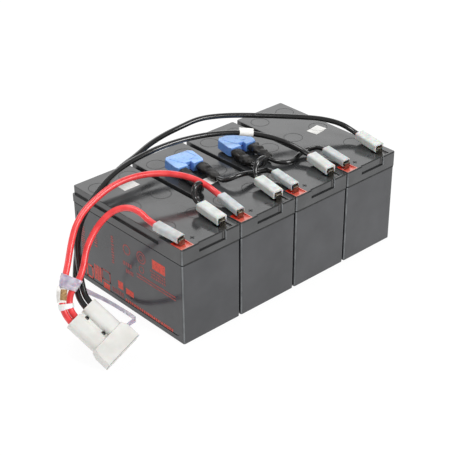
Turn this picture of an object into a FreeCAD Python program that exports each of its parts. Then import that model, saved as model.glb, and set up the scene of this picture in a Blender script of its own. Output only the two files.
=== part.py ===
import FreeCAD, Part
import math
import os
import re
import Sketcher

# Four sealed 12 V lead-acid blocks that stand in a row and share one wiring harness: two
# series pairs with a blade fuse in each, and four leads to one two-pole power connector.
# Origin: middle of the underside. +X runs along the row of blocks, -Y is the terminal end.

DOCUMENT_NAME = "BatteryCartridge"
BLOCKS = range(1, 5)
POLES = ("positive", "negative")
FUSES = range(1, 3)
Vector = FreeCAD.Vector
Rotation = FreeCAD.Rotation
Placement = FreeCAD.Placement
UP = Vector(0, 0, 1)
ACROSS = Vector(1, 0, 0)
START_RING = 10  # where a sketch's points wait until their formulas place them

# Driving sizes in millimetres, angles in degrees.
SIZES = {
    # containers
    "block_gap": 1.0,
    "block_length": 151.0,
    "container_inset": 0.4,
    "container_top": 78.2,
    "container_wall": 2.5,
    "container_floor": 3.0,
    "cell_wall": 1.6,
    "upright_radius": 1.8,
    "base_radius": 0.8,
    "panel_depth": 0.5,
    "panel_border": 5.0,
    "panel_radius": 5.0,
    # lids
    "lid_width": 65.0,
    "joint_gap": 1.1,
    "joint_depth": 1.2,
    "lower_band": 7.1,
    "upper_band": 7.6,
    "lid_inset": 2.0,
    "lid_shoulder": 30.0,
    "lid_wall": 4.0,
    "lid_edge": 0.5,
    "deck_thickness": 7.4,
    "recess_left": 13.6,
    "recess_right": 15.9,
    "recess_height": 8.6,
    "recess_depth": 1.5,
    "slot_height": 1.4,
    "slot_depth": 2.4,
    "rim_drop": 0.7,
    "rim_width": 0.8,
    "vent_diameter": 17.6,
    "vent_pitch_x": 34.0,
    "vent_pitch_y": 46.0,
    "vent_shift_y": 10.0,
    "vent_thickness": 0.8,
    "fit_gap": 0.15,
    # plates inside
    "plate_gap": 0.8,
    "plate_height": 62.0,
    "strap_height": 5.0,
    "strap_width": 8.0,
    "post_width": 6.0,
    # terminals
    "positive_inset": 7.5,
    "negative_inset": 12.5,
    "riser_inset": 8.4,
    "well_width": 13.4,
    "well_length": 14.0,
    "well_inset": 1.1,
    "well_depth": 5.4,
    "seal_wall": 0.9,
    "tab_width": 6.3,
    "tab_thickness": 0.8,
    "tab_foot": 4.0,
    "blade_height": 4.3,
    "blade_tilt": 6.0,
    # insulated receptacles
    "sleeve_length": 27.5,
    "sleeve_start": 1.2,
    "positive_sleeve_width": 9.0,
    "negative_sleeve_width": 11.0,
    "positive_sleeve_height": 7.0,
    "negative_sleeve_height": 7.8,
    "sleeve_edge": 1.8,
    "sleeve_bevel": 0.8,
    "receptacle_wall": 0.5,
    "receptacle_inset": 0.6,
    "receptacle_length": 9.0,
    "blade_end_gap": 0.9,
    "crimp_diameter": 4.2,
    "crimp_gap": 0.3,
    "wire_entry": 5.0,
    # leads
    "red_diameter": 5.5,
    "black_diameter": 5.0,
    "jumper_diameter": 4.6,
    "marker_wall": 0.3,
    "marker_length": 12.0,
    # power connector
    "connector_reach": 54.3,
    "connector_back": 13.1,
    "connector_z": 12.8,
    "connector_yaw": 5.0,
    "connector_pitch": -21.0,
    "connector_roll": 37.0,
    "connector_width": 36.5,
    "connector_length": 48.0,
    "connector_height": 16.0,
    "hood_length": 18.4,
    "hood_taper": 5.6,
    "hood_edge": 1.0,
    "barrel_width": 15.0,
    "barrel_height": 13.4,
    "barrel_pitch": 17.6,
    "barrel_radius": 4.6,
    "web_thickness": 4.6,
    "fixing_pitch": 18.4,
    "fixing_inset": 6.7,
    "fixing_diameter": 3.8,
    "mouth_width": 14.0,
    "mouth_height": 11.6,
    "mouth_depth": 15.0,
    "entry_width": 11.8,
    "entry_height": 6.4,
    "entry_depth": 7.3,
    "contact_width": 10.6,
    "contact_thickness": 3.0,
    "contact_inset": 4.0,
    "contact_drop": 1.5,
    # fuses
    "fuse_width": 30.5,
    "fuse_length": 22.5,
    "fuse_height": 8.8,
    "fuse_rest": 0.4,
    "fuse_tilt": 4.0,
    "fuse_corner": 3.2,
    "fuse_notch_width": 6.0,
    "fuse_notch_depth": 5.0,
    "fuse_edge": 0.8,
    "blade_pitch": 20.0,
    "blade_width": 8.0,
    "blade_thickness": 0.8,
    "blade_root": 6.0,
    "link_width": 2.0,
    "boot_start": 0.8,
    "boot_length": 26.5,
    "boot_width": 12.4,
    "boot_height": 8.2,
    # small pieces
    "sticker_width": 17.0,
    "sticker_length": 12.0,
    "sticker_thickness": 0.12,
    "tape_length": 100.0,
    "tape_height": 40.0,
    "tape_base": 18.0,
    "strap_section_width": 4.6,
    "strap_section_thickness": 0.9,
}

# Sizes that follow from others: how many times each is added.
SUMS = {
    "block_pitch": {"lid_width": 1, "block_gap": 1},
    "container_width": {"lid_width": 1, "container_inset": -2},
    "container_length": {"block_length": 1, "container_inset": -2},
    "step_height": {"container_top": 1, "joint_gap": 1, "lower_band": 1},
    "lid_top": {"step_height": 1, "upper_band": 1},
    "post_top": {"lid_top": 1, "deck_thickness": -1, "tab_foot": -1},
    "positive_shift": {"positive_inset": 1, "lid_width": -0.5},
    "negative_shift": {"negative_inset": -1, "lid_width": 0.5},
    "connector_x": {"block_pitch": -2, "block_gap": 0.5, "connector_reach": -1},
    "connector_y": {"block_length": -0.5, "connector_back": 1},
}

# How far each crimped receptacle has turned on its tab, seen from above: rear end towards +X.
SLEEVE_YAW = {
    ("positive", 1): -8.0, ("negative", 1): 1.0,
    ("positive", 2): 5.0, ("negative", 2): 5.0,
    ("positive", 3): 2.0, ("negative", 3): 6.0,
    ("positive", 4): 2.0, ("negative", 4): 4.0,
}

# Each fuse's block, the middle of its blade side (x, y) from the block's, and its turn.
FUSE_PLACES = {1: (2, -6.0, 19.6, -6.0), 2: (3, -10.7, 16.0, -7.0)}

# Blank stickers on the lids: block, middle (x, y) from the block's, and turn.
STICKER_PLACES = ((1, 5.4, 41.8, 0.0), (2, 1.5, -0.7, 4.0), (4, 11.6, 6.2, 8.0))

# Wires: the middle line of each, from its crimp to its far end.
ROUTES = {
    "red_lead_1": [
        (-127.3, -43.8, 100.8), (-128.9, -31.9, 102.0), (-129.5, -21.0, 107.0),
        (-134.5, -10.5, 109.5), (-143.5, -2.0, 106.0), (-154.2, 1.0, 98.5),
        (-165.4, -0.4, 90.0), (-175.2, -4.0, 81.0), (-182.0, -9.5, 72.0), (-189.6, -13.4, 64.2),
        (-197.8, -13.2, 57.4), (-203.8, -15.4, 49.2), (-206.4, -21.7, 40.4),
        (-203.0, -31.0, 33.7),
    ],
    "red_lead_2": [
        (-55.9, -43.6, 100.8), (-54.9, -31.7, 102.0), (-57.5, -19.5, 107.0),
        (-66.0, -8.5, 112.5), (-79.0, 1.5, 116.5), (-95.0, 9.5, 118.8), (-112.5, 15.0, 118.8),
        (-130.0, 17.6, 116.0), (-146.5, 17.4, 110.5), (-162.0, 15.4, 104.5),
        (-174.5, 10.8, 96.5), (-184.5, 4.2, 86.0), (-193.8, -3.0, 73.5), (-203.6, -8.6, 60.8),
        (-210.6, -14.4, 49.0), (-211.7, -22.2, 38.4), (-208.3, -31.5, 31.7),
    ],
    "black_lead_3": [
        (55.5, -43.7, 100.8), (56.7, -31.8, 102.0), (54.5, -18.0, 105.0), (46.5, -3.0, 109.5),
        (34.0, 10.4, 113.5), (18.5, 21.8, 116.2), (1.1, 31.0, 117.5), (-17.5, 38.3, 117.8),
        (-36.8, 43.6, 117.2), (-56.5, 47.0, 115.6), (-76.1, 48.2, 114.0), (-95.0, 47.6, 112.0),
        (-112.8, 44.4, 108.6), (-129.8, 39.0, 103.8), (-146.4, 32.2, 97.4),
        (-160.6, 22.6, 89.0), (-172.0, 11.0, 78.6), (-180.8, -0.6, 66.8), (-187.0, -11.6, 56.2),
        (-190.0, -20.3, 46.7), (-186.6, -29.6, 40.0),
    ],
    "black_lead_4": [
        (120.6, -43.6, 100.8), (121.5, -31.7, 102.0), (118.5, -19.0, 106.5),
        (109.5, -6.0, 109.8), (96.0, 6.8, 112.0), (79.8, 18.8, 114.0), (61.8, 30.2, 116.6),
        (43.0, 40.9, 119.4), (24.7, 50.6, 121.4), (5.3, 58.6, 122.0), (-14.5, 63.8, 121.4),
        (-35.0, 65.2, 119.6), (-56.0, 62.8, 118.0), (-76.6, 58.4, 116.8), (-96.6, 54.0, 114.8),
        (-115.6, 49.4, 111.2), (-133.4, 43.6, 106.0), (-150.6, 36.0, 99.2),
        (-165.2, 25.6, 90.4), (-177.0, 13.6, 79.6), (-185.6, 2.0, 66.4), (-192.4, -9.6, 54.4),
        (-195.3, -20.8, 44.7), (-191.9, -30.1, 38.0),
    ],
    "jumper_1_in": [
        (-78.6, -43.5, 100.8), (-78.4, -36.4, 101.5), (-79.0, -31.4, 105.2),
        (-79.0, -29.8, 110.6), (-75.4, -28.6, 114.8), (-69.8, -27.2, 115.2),
        (-66.0, -25.2, 110.8), (-65.4, -22.4, 104.2), (-61.0, -17.6, 98.6), (-52.4, -11.8, 98.1),
        (-51.3, -1.5, 98.8),
    ],
    "jumper_1_out": [
        (-31.4, -3.6, 98.8), (-32.5, -14.0, 98.1), (-29.4, -20.8, 101.2), (-21.0, -24.0, 103.6),
        (-12.5, -24.5, 102.6), (-4.5, -25.0, 100.4), (3.2, -27.6, 100.4), (8.8, -33.4, 101.9),
        (8.8, -43.5, 100.8),
    ],
    "jumper_2_in": [
        (-10.9, -43.6, 100.8), (-10.2, -35.6, 101.6), (-8.6, -31.6, 107.0), (-4.2, -30.4, 112.4),
        (2.2, -29.2, 114.4), (8.2, -27.2, 112.0), (11.8, -24.4, 106.2), (12.0, -20.2, 100.2),
        (8.7, -13.4, 98.2), (9.7, -4.9, 98.8),
    ],
    "jumper_2_out": [
        (29.5, -7.3, 98.8), (28.3, -17.2, 98.1), (33.4, -25.6, 97.4), (42.0, -28.6, 97.0),
        (51.0, -25.6, 97.0), (60.0, -22.6, 97.8), (69.4, -24.8, 99.8), (75.3, -33.4, 101.9),
        (74.8, -43.5, 100.8),
    ],
    "pull_strap": [
        (-172.8, -52.6, 29.1), (-166.6, -52.6, 30.6), (-158.6, -45.4, 24.4),
        (-151.0, -34.0, 16.2), (-145.0, -20.0, 9.6), (-140.6, -6.0, 4.2), (-139.5, 8.0, 2.6),
        (-142.0, 22.5, 4.0), (-150.0, 32.0, 9.8), (-161.5, 33.4, 20.2), (-173.6, 26.4, 32.0),
        (-184.0, 15.5, 43.0), (-192.8, 4.5, 53.4), (-199.2, -4.0, 62.0),
    ],
}

WIRE_SIZES = {name: name.split("_")[0] + "_diameter" for name in ROUTES if name != "pull_strap"}

# Wrapped paper markers: the wire, the run of its route and the wire's size.
MARKERS = (("red_lead_2", 13, "red_diameter"), ("black_lead_3", 4, "black_diameter"))

document = FreeCAD.newDocument(DOCUMENT_NAME)
sheet = document.addObject("Spreadsheet::Sheet", "Sizes")
for row, (alias, number) in enumerate(SIZES.items(), start=1):
    sheet.set("A%d" % row, alias.replace("_", " "))
    sheet.set("B%d" % row, str(number))
    sheet.setAlias("B%d" % row, alias)
document.recompute()


def size(alias):
    if alias in SUMS:
        return sum(times * size(name) for name, times in SUMS[alias].items())
    return float(sheet.get(alias))


def formula(text):
    """The same text with each size named as its cell in the sheet, or written as its sum."""
    def cell(found):
        word = found.group(0)
        if word in SUMS:
            return "(%s)" % formula(" + ".join("%g * %s" % (times, name)
                                               for name, times in SUMS[word].items()))
        return "Sizes." + word if word in SIZES else word
    return re.sub(r"[a-z][a-z_]*", cell, str(text))


def bind(thing, **formulas):
    for name, text in formulas.items():
        thing.setExpression(name.replace("__", "."), formula(text))


# ---- PartDesign helpers -------------------------------------------------------------------

def new_body(label, place=None):
    body = document.addObject("PartDesign::Body", label)
    body.Label = label
    if place is not None:
        body.Placement = place
    return body


def origin_plane(body, role):
    return [plane for plane in body.Origin.OriginFeatures if plane.Role == role][0]


def new_sketch(body, name, role, offset="0"):
    """A sketch on one of the body's origin planes, moved along the plane's normal."""
    sketch = body.newObject("Sketcher::SketchObject", name)
    sketch.AttachmentSupport = [(origin_plane(body, role), "")]
    sketch.MapMode = "FlatFace"
    bind(sketch, AttachmentOffset__Base__z=offset)
    return sketch


def hold_point(sketch, index, end, place, texts):
    """Holds one point at a formula for x and one for y; "0" holds it on the sketch's axis."""
    for kind, axis, start, text in zip(("DistanceX", "DistanceY"), (-2, -1), place, texts):
        if text == "0":
            sketch.addConstraint(Sketcher.Constraint("PointOnObject", index, end, axis))
            continue
        number = sketch.addConstraint(Sketcher.Constraint(kind, -1, 1, index, end, start))
        sketch.setExpression("Constraints[%d]" % number, formula(text))


def draw_polygon(sketch, corners):
    """A closed outline of corners; its lines start on a ring and go where the formulas say."""
    count = len(corners)
    first = sketch.GeometryCount
    turns = [2 * math.pi * index / count for index in range(count)]
    start = [START_RING * Vector(math.cos(turn), math.sin(turn), 0) for turn in turns]
    for index in range(count):
        sketch.addGeometry(Part.LineSegment(start[index], start[(index + 1) % count]), False)
    for index in range(count):
        after = first + (index + 1) % count
        sketch.addConstraint(Sketcher.Constraint("Coincident", first + index, 2, after, 1))
    for index, corner in enumerate(corners):
        hold_point(sketch, first + index, 1, start[index], corner)


def draw_rectangle(sketch, left, right, low, high):
    draw_polygon(sketch, [(left, low), (right, low), (right, high), (left, high)])


def draw_circle(sketch, x, y, diameter):
    start = Vector(START_RING, START_RING, 0)
    index = sketch.addGeometry(Part.Circle(start, UP, START_RING), False)
    if (x, y) == ("0", "0"):
        sketch.addConstraint(Sketcher.Constraint("Coincident", index, 3, -1, 1))
    else:
        hold_point(sketch, index, 3, start, (x, y))
    number = sketch.addConstraint(Sketcher.Constraint("Diameter", index, 2 * START_RING))
    sketch.setExpression("Constraints[%d]" % number, formula(diameter))


def extrude(body, kind, name, sketch, length, reverse=False):
    """A Pad along the sketch's normal or a Pocket against it; reverse turns either round."""
    feature = body.newObject("PartDesign::" + kind, name)
    feature.Profile = sketch
    feature.Reversed = reverse
    bind(feature, Length=length)
    sketch.Visibility = False
    document.recompute()
    return feature


def dress(body, kind, name, amount, wanted):
    """A Fillet or Chamfer on the edges of the body so far for which wanted(edge) holds."""
    base = body.Tip
    names = ["Edge%d" % index for index, edge in enumerate(base.Shape.Edges, start=1)
             if wanted(edge)]
    feature = body.newObject("PartDesign::" + kind, name)
    feature.Base = (base, names)
    bind(feature, **{"Radius" if kind == "Fillet" else "Size": amount})
    document.recompute()
    return feature


def is_along(edge, axis):
    """True for a straight edge parallel to the axis."""
    if not isinstance(edge.Curve, Part.Line):
        return False
    return abs(edge.Curve.Direction.dot(axis)) > 0.999


def near(first, second, slack=0.01):
    return abs(first - second) < slack


# ---- Part helpers -------------------------------------------------------------------------

def new_box(name, corner, extent):
    """A Part::Box from the formulas of its lowest corner and of its three sides."""
    box = document.addObject("Part::Box", name)
    bind(box, Length=extent[0], Width=extent[1], Height=extent[2])
    bind(box, Placement__Base__x=corner[0], Placement__Base__y=corner[1],
         Placement__Base__z=corner[2])
    return box


def combine(kind, label, pieces, place=None):
    """One object from several: kind is Compound, MultiFuse or Cut."""
    result = document.addObject("Part::" + kind, label)
    result.Label = label
    if kind == "Compound":
        result.Links = pieces
    elif kind == "Cut":
        result.Base, result.Tool = pieces
    else:
        result.Shapes = pieces
    if place is not None:
        result.Placement = place
    for piece in pieces:
        piece.Visibility = False
    return result


def block_x(block):
    """Formula for the middle of a block along the row."""
    return "block_pitch * %.1f" % (block - (len(BLOCKS) + 1) / 2)


def block_place(block):
    return Placement(Vector(size("block_pitch") * (block - (len(BLOCKS) + 1) / 2), 0, 0),
                     Rotation())


# ---- containers and lids ------------------------------------------------------------------

CELL_X = "((container_width - 2 * container_wall - cell_wall) / 2)"
CELL_Y = "((container_length - 2 * container_wall - 2 * cell_wall) / 3)"
COLUMNS = (-1, 1)
ROWS = (-1, 0, 1)


def cell_middle(column, row):
    x = "(%d * (cell_wall + %s) / 2)" % (column, CELL_X)
    y = "(%d * (cell_wall + %s))" % (row, CELL_Y)
    return x, y


def make_container(block):
    body = new_body("container_%d" % block)
    bind(body, Placement__Base__x=block_x(block))
    outer = new_sketch(body, "Footprint", "XY_Plane")
    draw_rectangle(outer, "-container_width / 2", "container_width / 2",
                   "-container_length / 2", "container_length / 2")
    extrude(body, "Pad", "Shell", outer, "container_top")
    dress(body, "Fillet", "Uprights", "upright_radius", lambda edge: is_along(edge, UP))
    dress(body, "Fillet", "Foot", "base_radius", lambda edge: near(edge.BoundBox.ZMax, 0))
    for side, reverse in ((1, False), (-1, True)):
        panel = new_sketch(body, "Panel", "YZ_Plane", "%d * container_width / 2" % side)
        draw_rectangle(panel, "-container_length / 2 + panel_border",
                       "container_length / 2 - panel_border",
                       "panel_border", "container_top - panel_border")
        extrude(body, "Pocket", "PanelRecess", panel, "panel_depth", reverse)
    dress(body, "Fillet", "PanelCorners", "panel_radius",
          lambda edge: is_along(edge, ACROSS) and near(edge.Length, size("panel_depth")))
    cells = new_sketch(body, "Cells", "XY_Plane", "container_top")
    for column in COLUMNS:
        for row in ROWS:
            x, y = cell_middle(column, row)
            draw_rectangle(cells, x + " - %s / 2" % CELL_X, x + " + %s / 2" % CELL_X,
                           y + " - %s / 2" % CELL_Y, y + " + %s / 2" % CELL_Y)
    extrude(body, "Pocket", "CellRoom", cells, "container_top - container_floor")
    return body


def make_lid(block):
    body = new_body("lid_%d" % block)
    bind(body, Placement__Base__x=block_x(block))
    rebate = new_sketch(body, "Rebate", "XY_Plane", "container_top")
    draw_rectangle(rebate, "-lid_width / 2 + joint_depth", "lid_width / 2 - joint_depth",
                   "-block_length / 2 + joint_depth", "block_length / 2 - joint_depth")
    extrude(body, "Pad", "JointBand", rebate, "joint_gap")
    band = new_sketch(body, "Band", "XY_Plane", "container_top + joint_gap")
    draw_rectangle(band, "-lid_width / 2", "lid_width / 2",
                   "-block_length / 2", "block_length / 2")
    extrude(body, "Pad", "LowerBand", band, "step_height - container_top - joint_gap")
    crown = new_sketch(body, "Crown", "XY_Plane", "step_height")
    shoulder = "lid_shoulder - block_length / 2"
    draw_polygon(crown, [
        ("-lid_width / 2", "-block_length / 2"),
        ("lid_width / 2", "-block_length / 2"),
        ("lid_width / 2", shoulder),
        ("lid_width / 2 - lid_inset", shoulder),
        ("lid_width / 2 - lid_inset", "block_length / 2"),
        ("lid_inset - lid_width / 2", "block_length / 2"),
        ("lid_inset - lid_width / 2", shoulder),
        ("-lid_width / 2", shoulder),
    ])
    extrude(body, "Pad", "UpperBand", crown, "lid_top - step_height")
    dress(body, "Fillet", "Uprights", "upright_radius",
          lambda edge: is_along(edge, UP) and edge.BoundBox.ZMax > size("container_top")
          + size("joint_gap") + 0.1 and near(abs(edge.BoundBox.YMin), size("block_length") / 2))
    dress(body, "Fillet", "TopEdge", "lid_edge",
          lambda edge: near(edge.BoundBox.ZMin, size("lid_top")))
    inside = new_sketch(body, "Inside", "XY_Plane", "container_top")
    draw_rectangle(inside, "-lid_width / 2 + lid_wall", "lid_width / 2 - lid_wall",
                   "-block_length / 2 + lid_wall", "block_length / 2 - lid_wall")
    extrude(body, "Pocket", "Underside", inside, "lid_top - deck_thickness - container_top",
            reverse=True)
    wells = new_sketch(body, "Wells", "XY_Plane", "lid_top")
    for pole in POLES:
        draw_rectangle(wells, pole + "_shift - well_width / 2", pole + "_shift + well_width / 2",
                       "well_inset - block_length / 2",
                       "well_inset + well_length - block_length / 2")
    extrude(body, "Pocket", "TerminalWells", wells, "deck_thickness")
    front = "block_length / 2"
    recess = new_sketch(body, "Recess", "XZ_Plane", front)
    draw_rectangle(recess, "-recess_left", "recess_right",
                   "lid_top - recess_height", "lid_top + recess_height")
    extrude(body, "Pocket", "GripRecess", recess, "recess_depth")
    slot = new_sketch(body, "Slot", "XZ_Plane", front)
    draw_rectangle(slot, "-recess_left", "recess_right",
                   "lid_top - recess_height", "lid_top - recess_height + slot_height")
    extrude(body, "Pocket", "GripSlot", slot, "slot_depth")
    rim = new_sketch(body, "Rim", "XZ_Plane", front)
    draw_rectangle(rim, "positive_shift + well_width / 2 + seal_wall",
                   "lid_width / 2 + rim_width", "lid_top - rim_drop", "lid_top + rim_drop")
    extrude(body, "Pocket", "RimStep", rim, "rim_width")
    vents = new_sketch(body, "Vents", "XY_Plane", "lid_top")
    for column in COLUMNS:
        for row in ROWS:
            draw_circle(vents, "%d * vent_pitch_x / 2" % column,
                        "vent_shift_y + %d * vent_pitch_y" % row,
                        "vent_diameter + 2 * fit_gap")
    extrude(body, "Pocket", "VentSeats", vents, "vent_thickness")
    return body


def make_vent_caps():
    caps = []
    for block in BLOCKS:
        for column in COLUMNS:
            for row in ROWS:
                cap = document.addObject("Part::Cylinder", "VentCap")
                bind(cap, Radius="vent_diameter / 2", Height="vent_thickness",
                     Placement__Base__x=block_x(block) + " + %d * vent_pitch_x / 2" % column,
                     Placement__Base__y="vent_shift_y + %d * vent_pitch_y" % row,
                     Placement__Base__z="lid_top - vent_thickness")
                caps.append(cap)
    return combine("Compound", "vent_caps", caps)


def make_plate_groups(block):
    """Six packs of plates, each with its cast strap; the two front ones carry a post."""
    groups = []
    for column in COLUMNS:
        for row in ROWS:
            x, y = cell_middle(column, row)
            width = "(%s - 2 * plate_gap)" % CELL_X
            length = "(%s - 2 * plate_gap)" % CELL_Y
            pieces = [
                new_box("Plates", (x + " - %s / 2" % width, y + " - %s / 2" % length,
                                   "container_floor"), (width, length, "plate_height")),
                new_box("CastStrap", (x + " - strap_width / 2", y + " - %s / 2" % length,
                                      "container_floor + plate_height"),
                        ("strap_width", length, "strap_height")),
            ]
            if row == ROWS[0]:
                pole = POLES[0] if column < 0 else POLES[1]
                strap_top = "container_floor + plate_height + strap_height"
                foot = new_box("PostFoot", (pole + "_shift - post_width / 2",
                                            "riser_inset - block_length / 2 - post_width / 2",
                                            strap_top),
                               ("post_width", "post_width",
                                "post_top - container_floor - plate_height - strap_height"))
                bar = new_box("PostBar", ("min(%s_shift - post_width / 2; %s)" % (pole, x),
                                          "riser_inset - block_length / 2 - post_width / 2",
                                          "container_floor + plate_height"),
                              ("abs(%s_shift - %s) + post_width / 2" % (pole, x),
                               "post_width", "strap_height"))
                pieces += [foot, bar]
            groups.append(combine("MultiFuse", "PlateGroup", pieces))
    group = combine("Compound", "plate_groups_%d" % block, groups)
    bind(group, Placement__Base__x=block_x(block))
    return group


# ---- terminals ----------------------------------------------------------------------------

def terminal_place(pole, block):
    """Frame of a blade: origin at the top of its riser, +Y along the blade, away from it."""
    middle = block_place(block).Base
    base = Vector(middle.x + size(pole + "_shift"),
                  size("riser_inset") - size("block_length") / 2,
                  size("lid_top") + size("blade_height"))
    turn = Rotation(UP, -SLEEVE_YAW[pole, block])
    return Placement(base, turn.multiply(Rotation(ACROSS, size("blade_tilt"))))


def blade_length(start):
    """How far a blade reaches into a receptacle whose sleeve begins at start."""
    return "(%s + receptacle_length - blade_end_gap)" % start


def make_tab(pole, block):
    """A stamped tab: a riser out of the well, bent over into the blade."""
    riser = new_box("Riser", (block_x(block) + " + %s_shift - tab_width / 2" % pole,
                              "riser_inset - block_length / 2 - tab_thickness / 2",
                              "lid_top - deck_thickness - tab_foot"),
                    ("tab_width", "tab_thickness",
                     "blade_height + deck_thickness + tab_foot - tab_thickness / 2"))
    blade = document.addObject("Part::Box", "Blade")
    bind(blade, Length="tab_width", Width=blade_length("sleeve_start"),
         Height="tab_thickness")
    place = terminal_place(pole, block)
    corner = Vector(-size("tab_width") / 2, 0, -size("tab_thickness") / 2)
    blade.Placement = place.multiply(Placement(corner, Rotation()))
    bend = document.addObject("Part::Cylinder", "Bend")
    bind(bend, Radius="tab_thickness", Height="tab_width * 0.99")
    start = Vector(-size("tab_width") * 0.495, 0, 0)
    bend.Placement = place.multiply(Placement(start, Rotation(Vector(0, 1, 0), 90)))
    return combine("MultiFuse", "%s_tab_%d" % (pole, block), [riser, blade, bend])


def make_seal(pole, block):
    """The cast cup that seals the tab into its well."""
    low = "lid_top - deck_thickness"
    left = block_x(block) + " + %s_shift" % pole
    front = "well_inset - block_length / 2"
    cup = new_box("Cup", (left + " - well_width / 2", front, low),
                  ("well_width", "well_length", "deck_thickness"))
    room = new_box("CupRoom", (left + " - well_width / 2 + seal_wall", front + " + seal_wall",
                               "lid_top - well_depth"),
                   ("well_width - 2 * seal_wall", "well_length - 2 * seal_wall",
                    "well_depth + seal_wall"))
    slot = new_box("TabSlot", (left + " - tab_width / 2",
                               "riser_inset - block_length / 2 - tab_thickness / 2",
                               low + " - seal_wall"),
                   ("tab_width", "tab_thickness", "deck_thickness"))
    return combine("Cut", "%s_seal_%d" % (pole, block),
                   [cup, combine("MultiFuse", "CupCuts", [room, slot])])


ALONG = Vector(0, 1, 0)
ROOM_HEIGHT = "(crimp_diameter + 2 * fit_gap)"


def receptacle_width(blade):
    return "(%s + 2 * receptacle_wall + 2 * fit_gap)" % blade


def make_insulator(name, place, width, height, start, length, wire, blade):
    """A moulded sleeve: pushed over the receptacle in front, bored for the wire behind."""
    body = new_body(name, place)
    outer = new_sketch(body, "Section", "XZ_Plane", "-%s" % start)
    draw_rectangle(outer, "-%s / 2" % width, "%s / 2" % width,
                   "-%s / 2" % height, "%s / 2" % height)
    extrude(body, "Pad", "Sleeve", outer, length, reverse=True)
    dress(body, "Fillet", "LongEdges", "sleeve_edge", lambda edge: is_along(edge, ALONG))
    rear = size(start) + size(length)
    dress(body, "Chamfer", "RearEdge", "sleeve_bevel",
          lambda edge: near(edge.BoundBox.YMin, rear))
    bore = new_sketch(body, "Bore", "XZ_Plane", "-%s - %s" % (start, length))
    draw_circle(bore, "0", "0", "%s + 2 * fit_gap" % wire)
    extrude(body, "Pocket", "WireBore", bore, "wire_entry + fit_gap", reverse=True)
    room = new_sketch(body, "Room", "XZ_Plane", "-%s" % start)
    half = "(%s / 2 + fit_gap)" % receptacle_width(blade)
    draw_rectangle(room, "-" + half, half, "-%s / 2" % ROOM_HEIGHT, "%s / 2" % ROOM_HEIGHT)
    extrude(body, "Pocket", "ReceptacleRoom", room, "%s - wire_entry" % length)
    return body


def make_receptacle(place, start, length, blade):
    """A folded receptacle with its crimp barrel, on the centre line of its sleeve."""
    width = receptacle_width(blade)
    height = "(tab_thickness + 2 * receptacle_wall + 2 * fit_gap)"
    front = "(%s + receptacle_inset)" % start
    crimp_end = "(%s + %s - wire_entry - crimp_gap)" % (start, length)
    shell = new_box("Shell", ("-%s / 2" % width, front, "-%s / 2" % height),
                    (width, "receptacle_length", height))
    slot = new_box("Slot", ("-%s / 2 - fit_gap" % blade, front + " - receptacle_inset",
                            "-tab_thickness / 2 - fit_gap"),
                   (blade + " + 2 * fit_gap", "receptacle_length",
                    "tab_thickness + 2 * fit_gap"))
    crimp = document.addObject("Part::Cylinder", "Crimp")
    crimp.Placement = Placement(Vector(0, 0, 0), Rotation(ACROSS, -90))
    bind(crimp, Radius="crimp_diameter / 2",
         Height="%s - %s - receptacle_length + receptacle_inset" % (crimp_end, front),
         Placement__Base__y=front + " + receptacle_length - receptacle_inset")
    folded = combine("Cut", "Folded", [shell, slot])
    return combine("MultiFuse", "Receptacle", [folded, crimp], place)


def make_sleeve(pole, block):
    wire = "red_diameter" if (pole == "positive" and block < 3) else "black_diameter"
    return make_insulator("%s_sleeve_%d" % (pole, block), terminal_place(pole, block),
                          pole + "_sleeve_width", pole + "_sleeve_height",
                          "sleeve_start", "sleeve_length", wire, "tab_width")


# ---- fuses --------------------------------------------------------------------------------

def fuse_place(fuse, side=0):
    """Frame of a fuse, or of one of its blades: origin on the blade side, +Y to the wires."""
    block, x, y, turn = FUSE_PLACES[fuse]
    tilt = size("fuse_tilt")
    rise = (size("boot_start") + size("boot_length")) * math.sin(math.radians(tilt))
    height = size("lid_top") + size("fuse_rest") + size("boot_height") / 2 + rise
    middle = Placement(block_place(block).Base + Vector(x, y, height),
                       Rotation(UP, 180 + turn).multiply(Rotation(ACROSS, -tilt)))
    return middle.multiply(Placement(Vector(side * size("blade_pitch") / 2, 0, 0), Rotation()))


def make_fuse_element(fuse):
    """Two blades and the narrow link between them, stamped from one sheet."""
    pieces = []
    for side in COLUMNS:
        pieces.append(new_box("Blade", ("%d * blade_pitch / 2 - blade_width / 2" % side,
                                        "-blade_root", "-blade_thickness / 2"),
                              ("blade_width", "blade_root + " + blade_length("boot_start"),
                               "blade_thickness")))
    pieces.append(new_box("Link", ("-blade_pitch / 2", "-blade_root - link_width / 2",
                                   "-blade_thickness / 2"),
                          ("blade_pitch", "link_width", "blade_thickness")))
    return combine("MultiFuse", "fuse_element_%d" % fuse, pieces, fuse_place(fuse))


def make_fuse_body(fuse, element):
    """The moulded body: chamfered at the back, notched between the blades, closed on them."""
    body = new_body("FuseBody%d" % fuse, fuse_place(fuse))
    outline = new_sketch(body, "Outline", "XY_Plane", "-fuse_height / 2")
    draw_polygon(outline, [
        ("-fuse_width / 2", "-fuse_corner"),
        ("-fuse_width / 2 + fuse_corner / 2", "0"),
        ("-fuse_notch_width / 2", "0"),
        ("-fuse_notch_width / 2", "-fuse_notch_depth"),
        ("fuse_notch_width / 2", "-fuse_notch_depth"),
        ("fuse_notch_width / 2", "0"),
        ("fuse_width / 2 - fuse_corner / 2", "0"),
        ("fuse_width / 2", "-fuse_corner"),
        ("fuse_width / 2", "fuse_corner - fuse_length"),
        ("fuse_width / 2 - fuse_corner", "-fuse_length"),
        ("fuse_corner - fuse_width / 2", "-fuse_length"),
        ("-fuse_width / 2", "fuse_corner - fuse_length"),
    ])
    extrude(body, "Pad", "Case", outline, "fuse_height")
    dress(body, "Fillet", "TopEdge", "fuse_edge",
          lambda edge: near(edge.BoundBox.ZMin, size("fuse_height") / 2))
    return combine("Cut", "fuse_body_%d" % fuse, [body, element])


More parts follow.
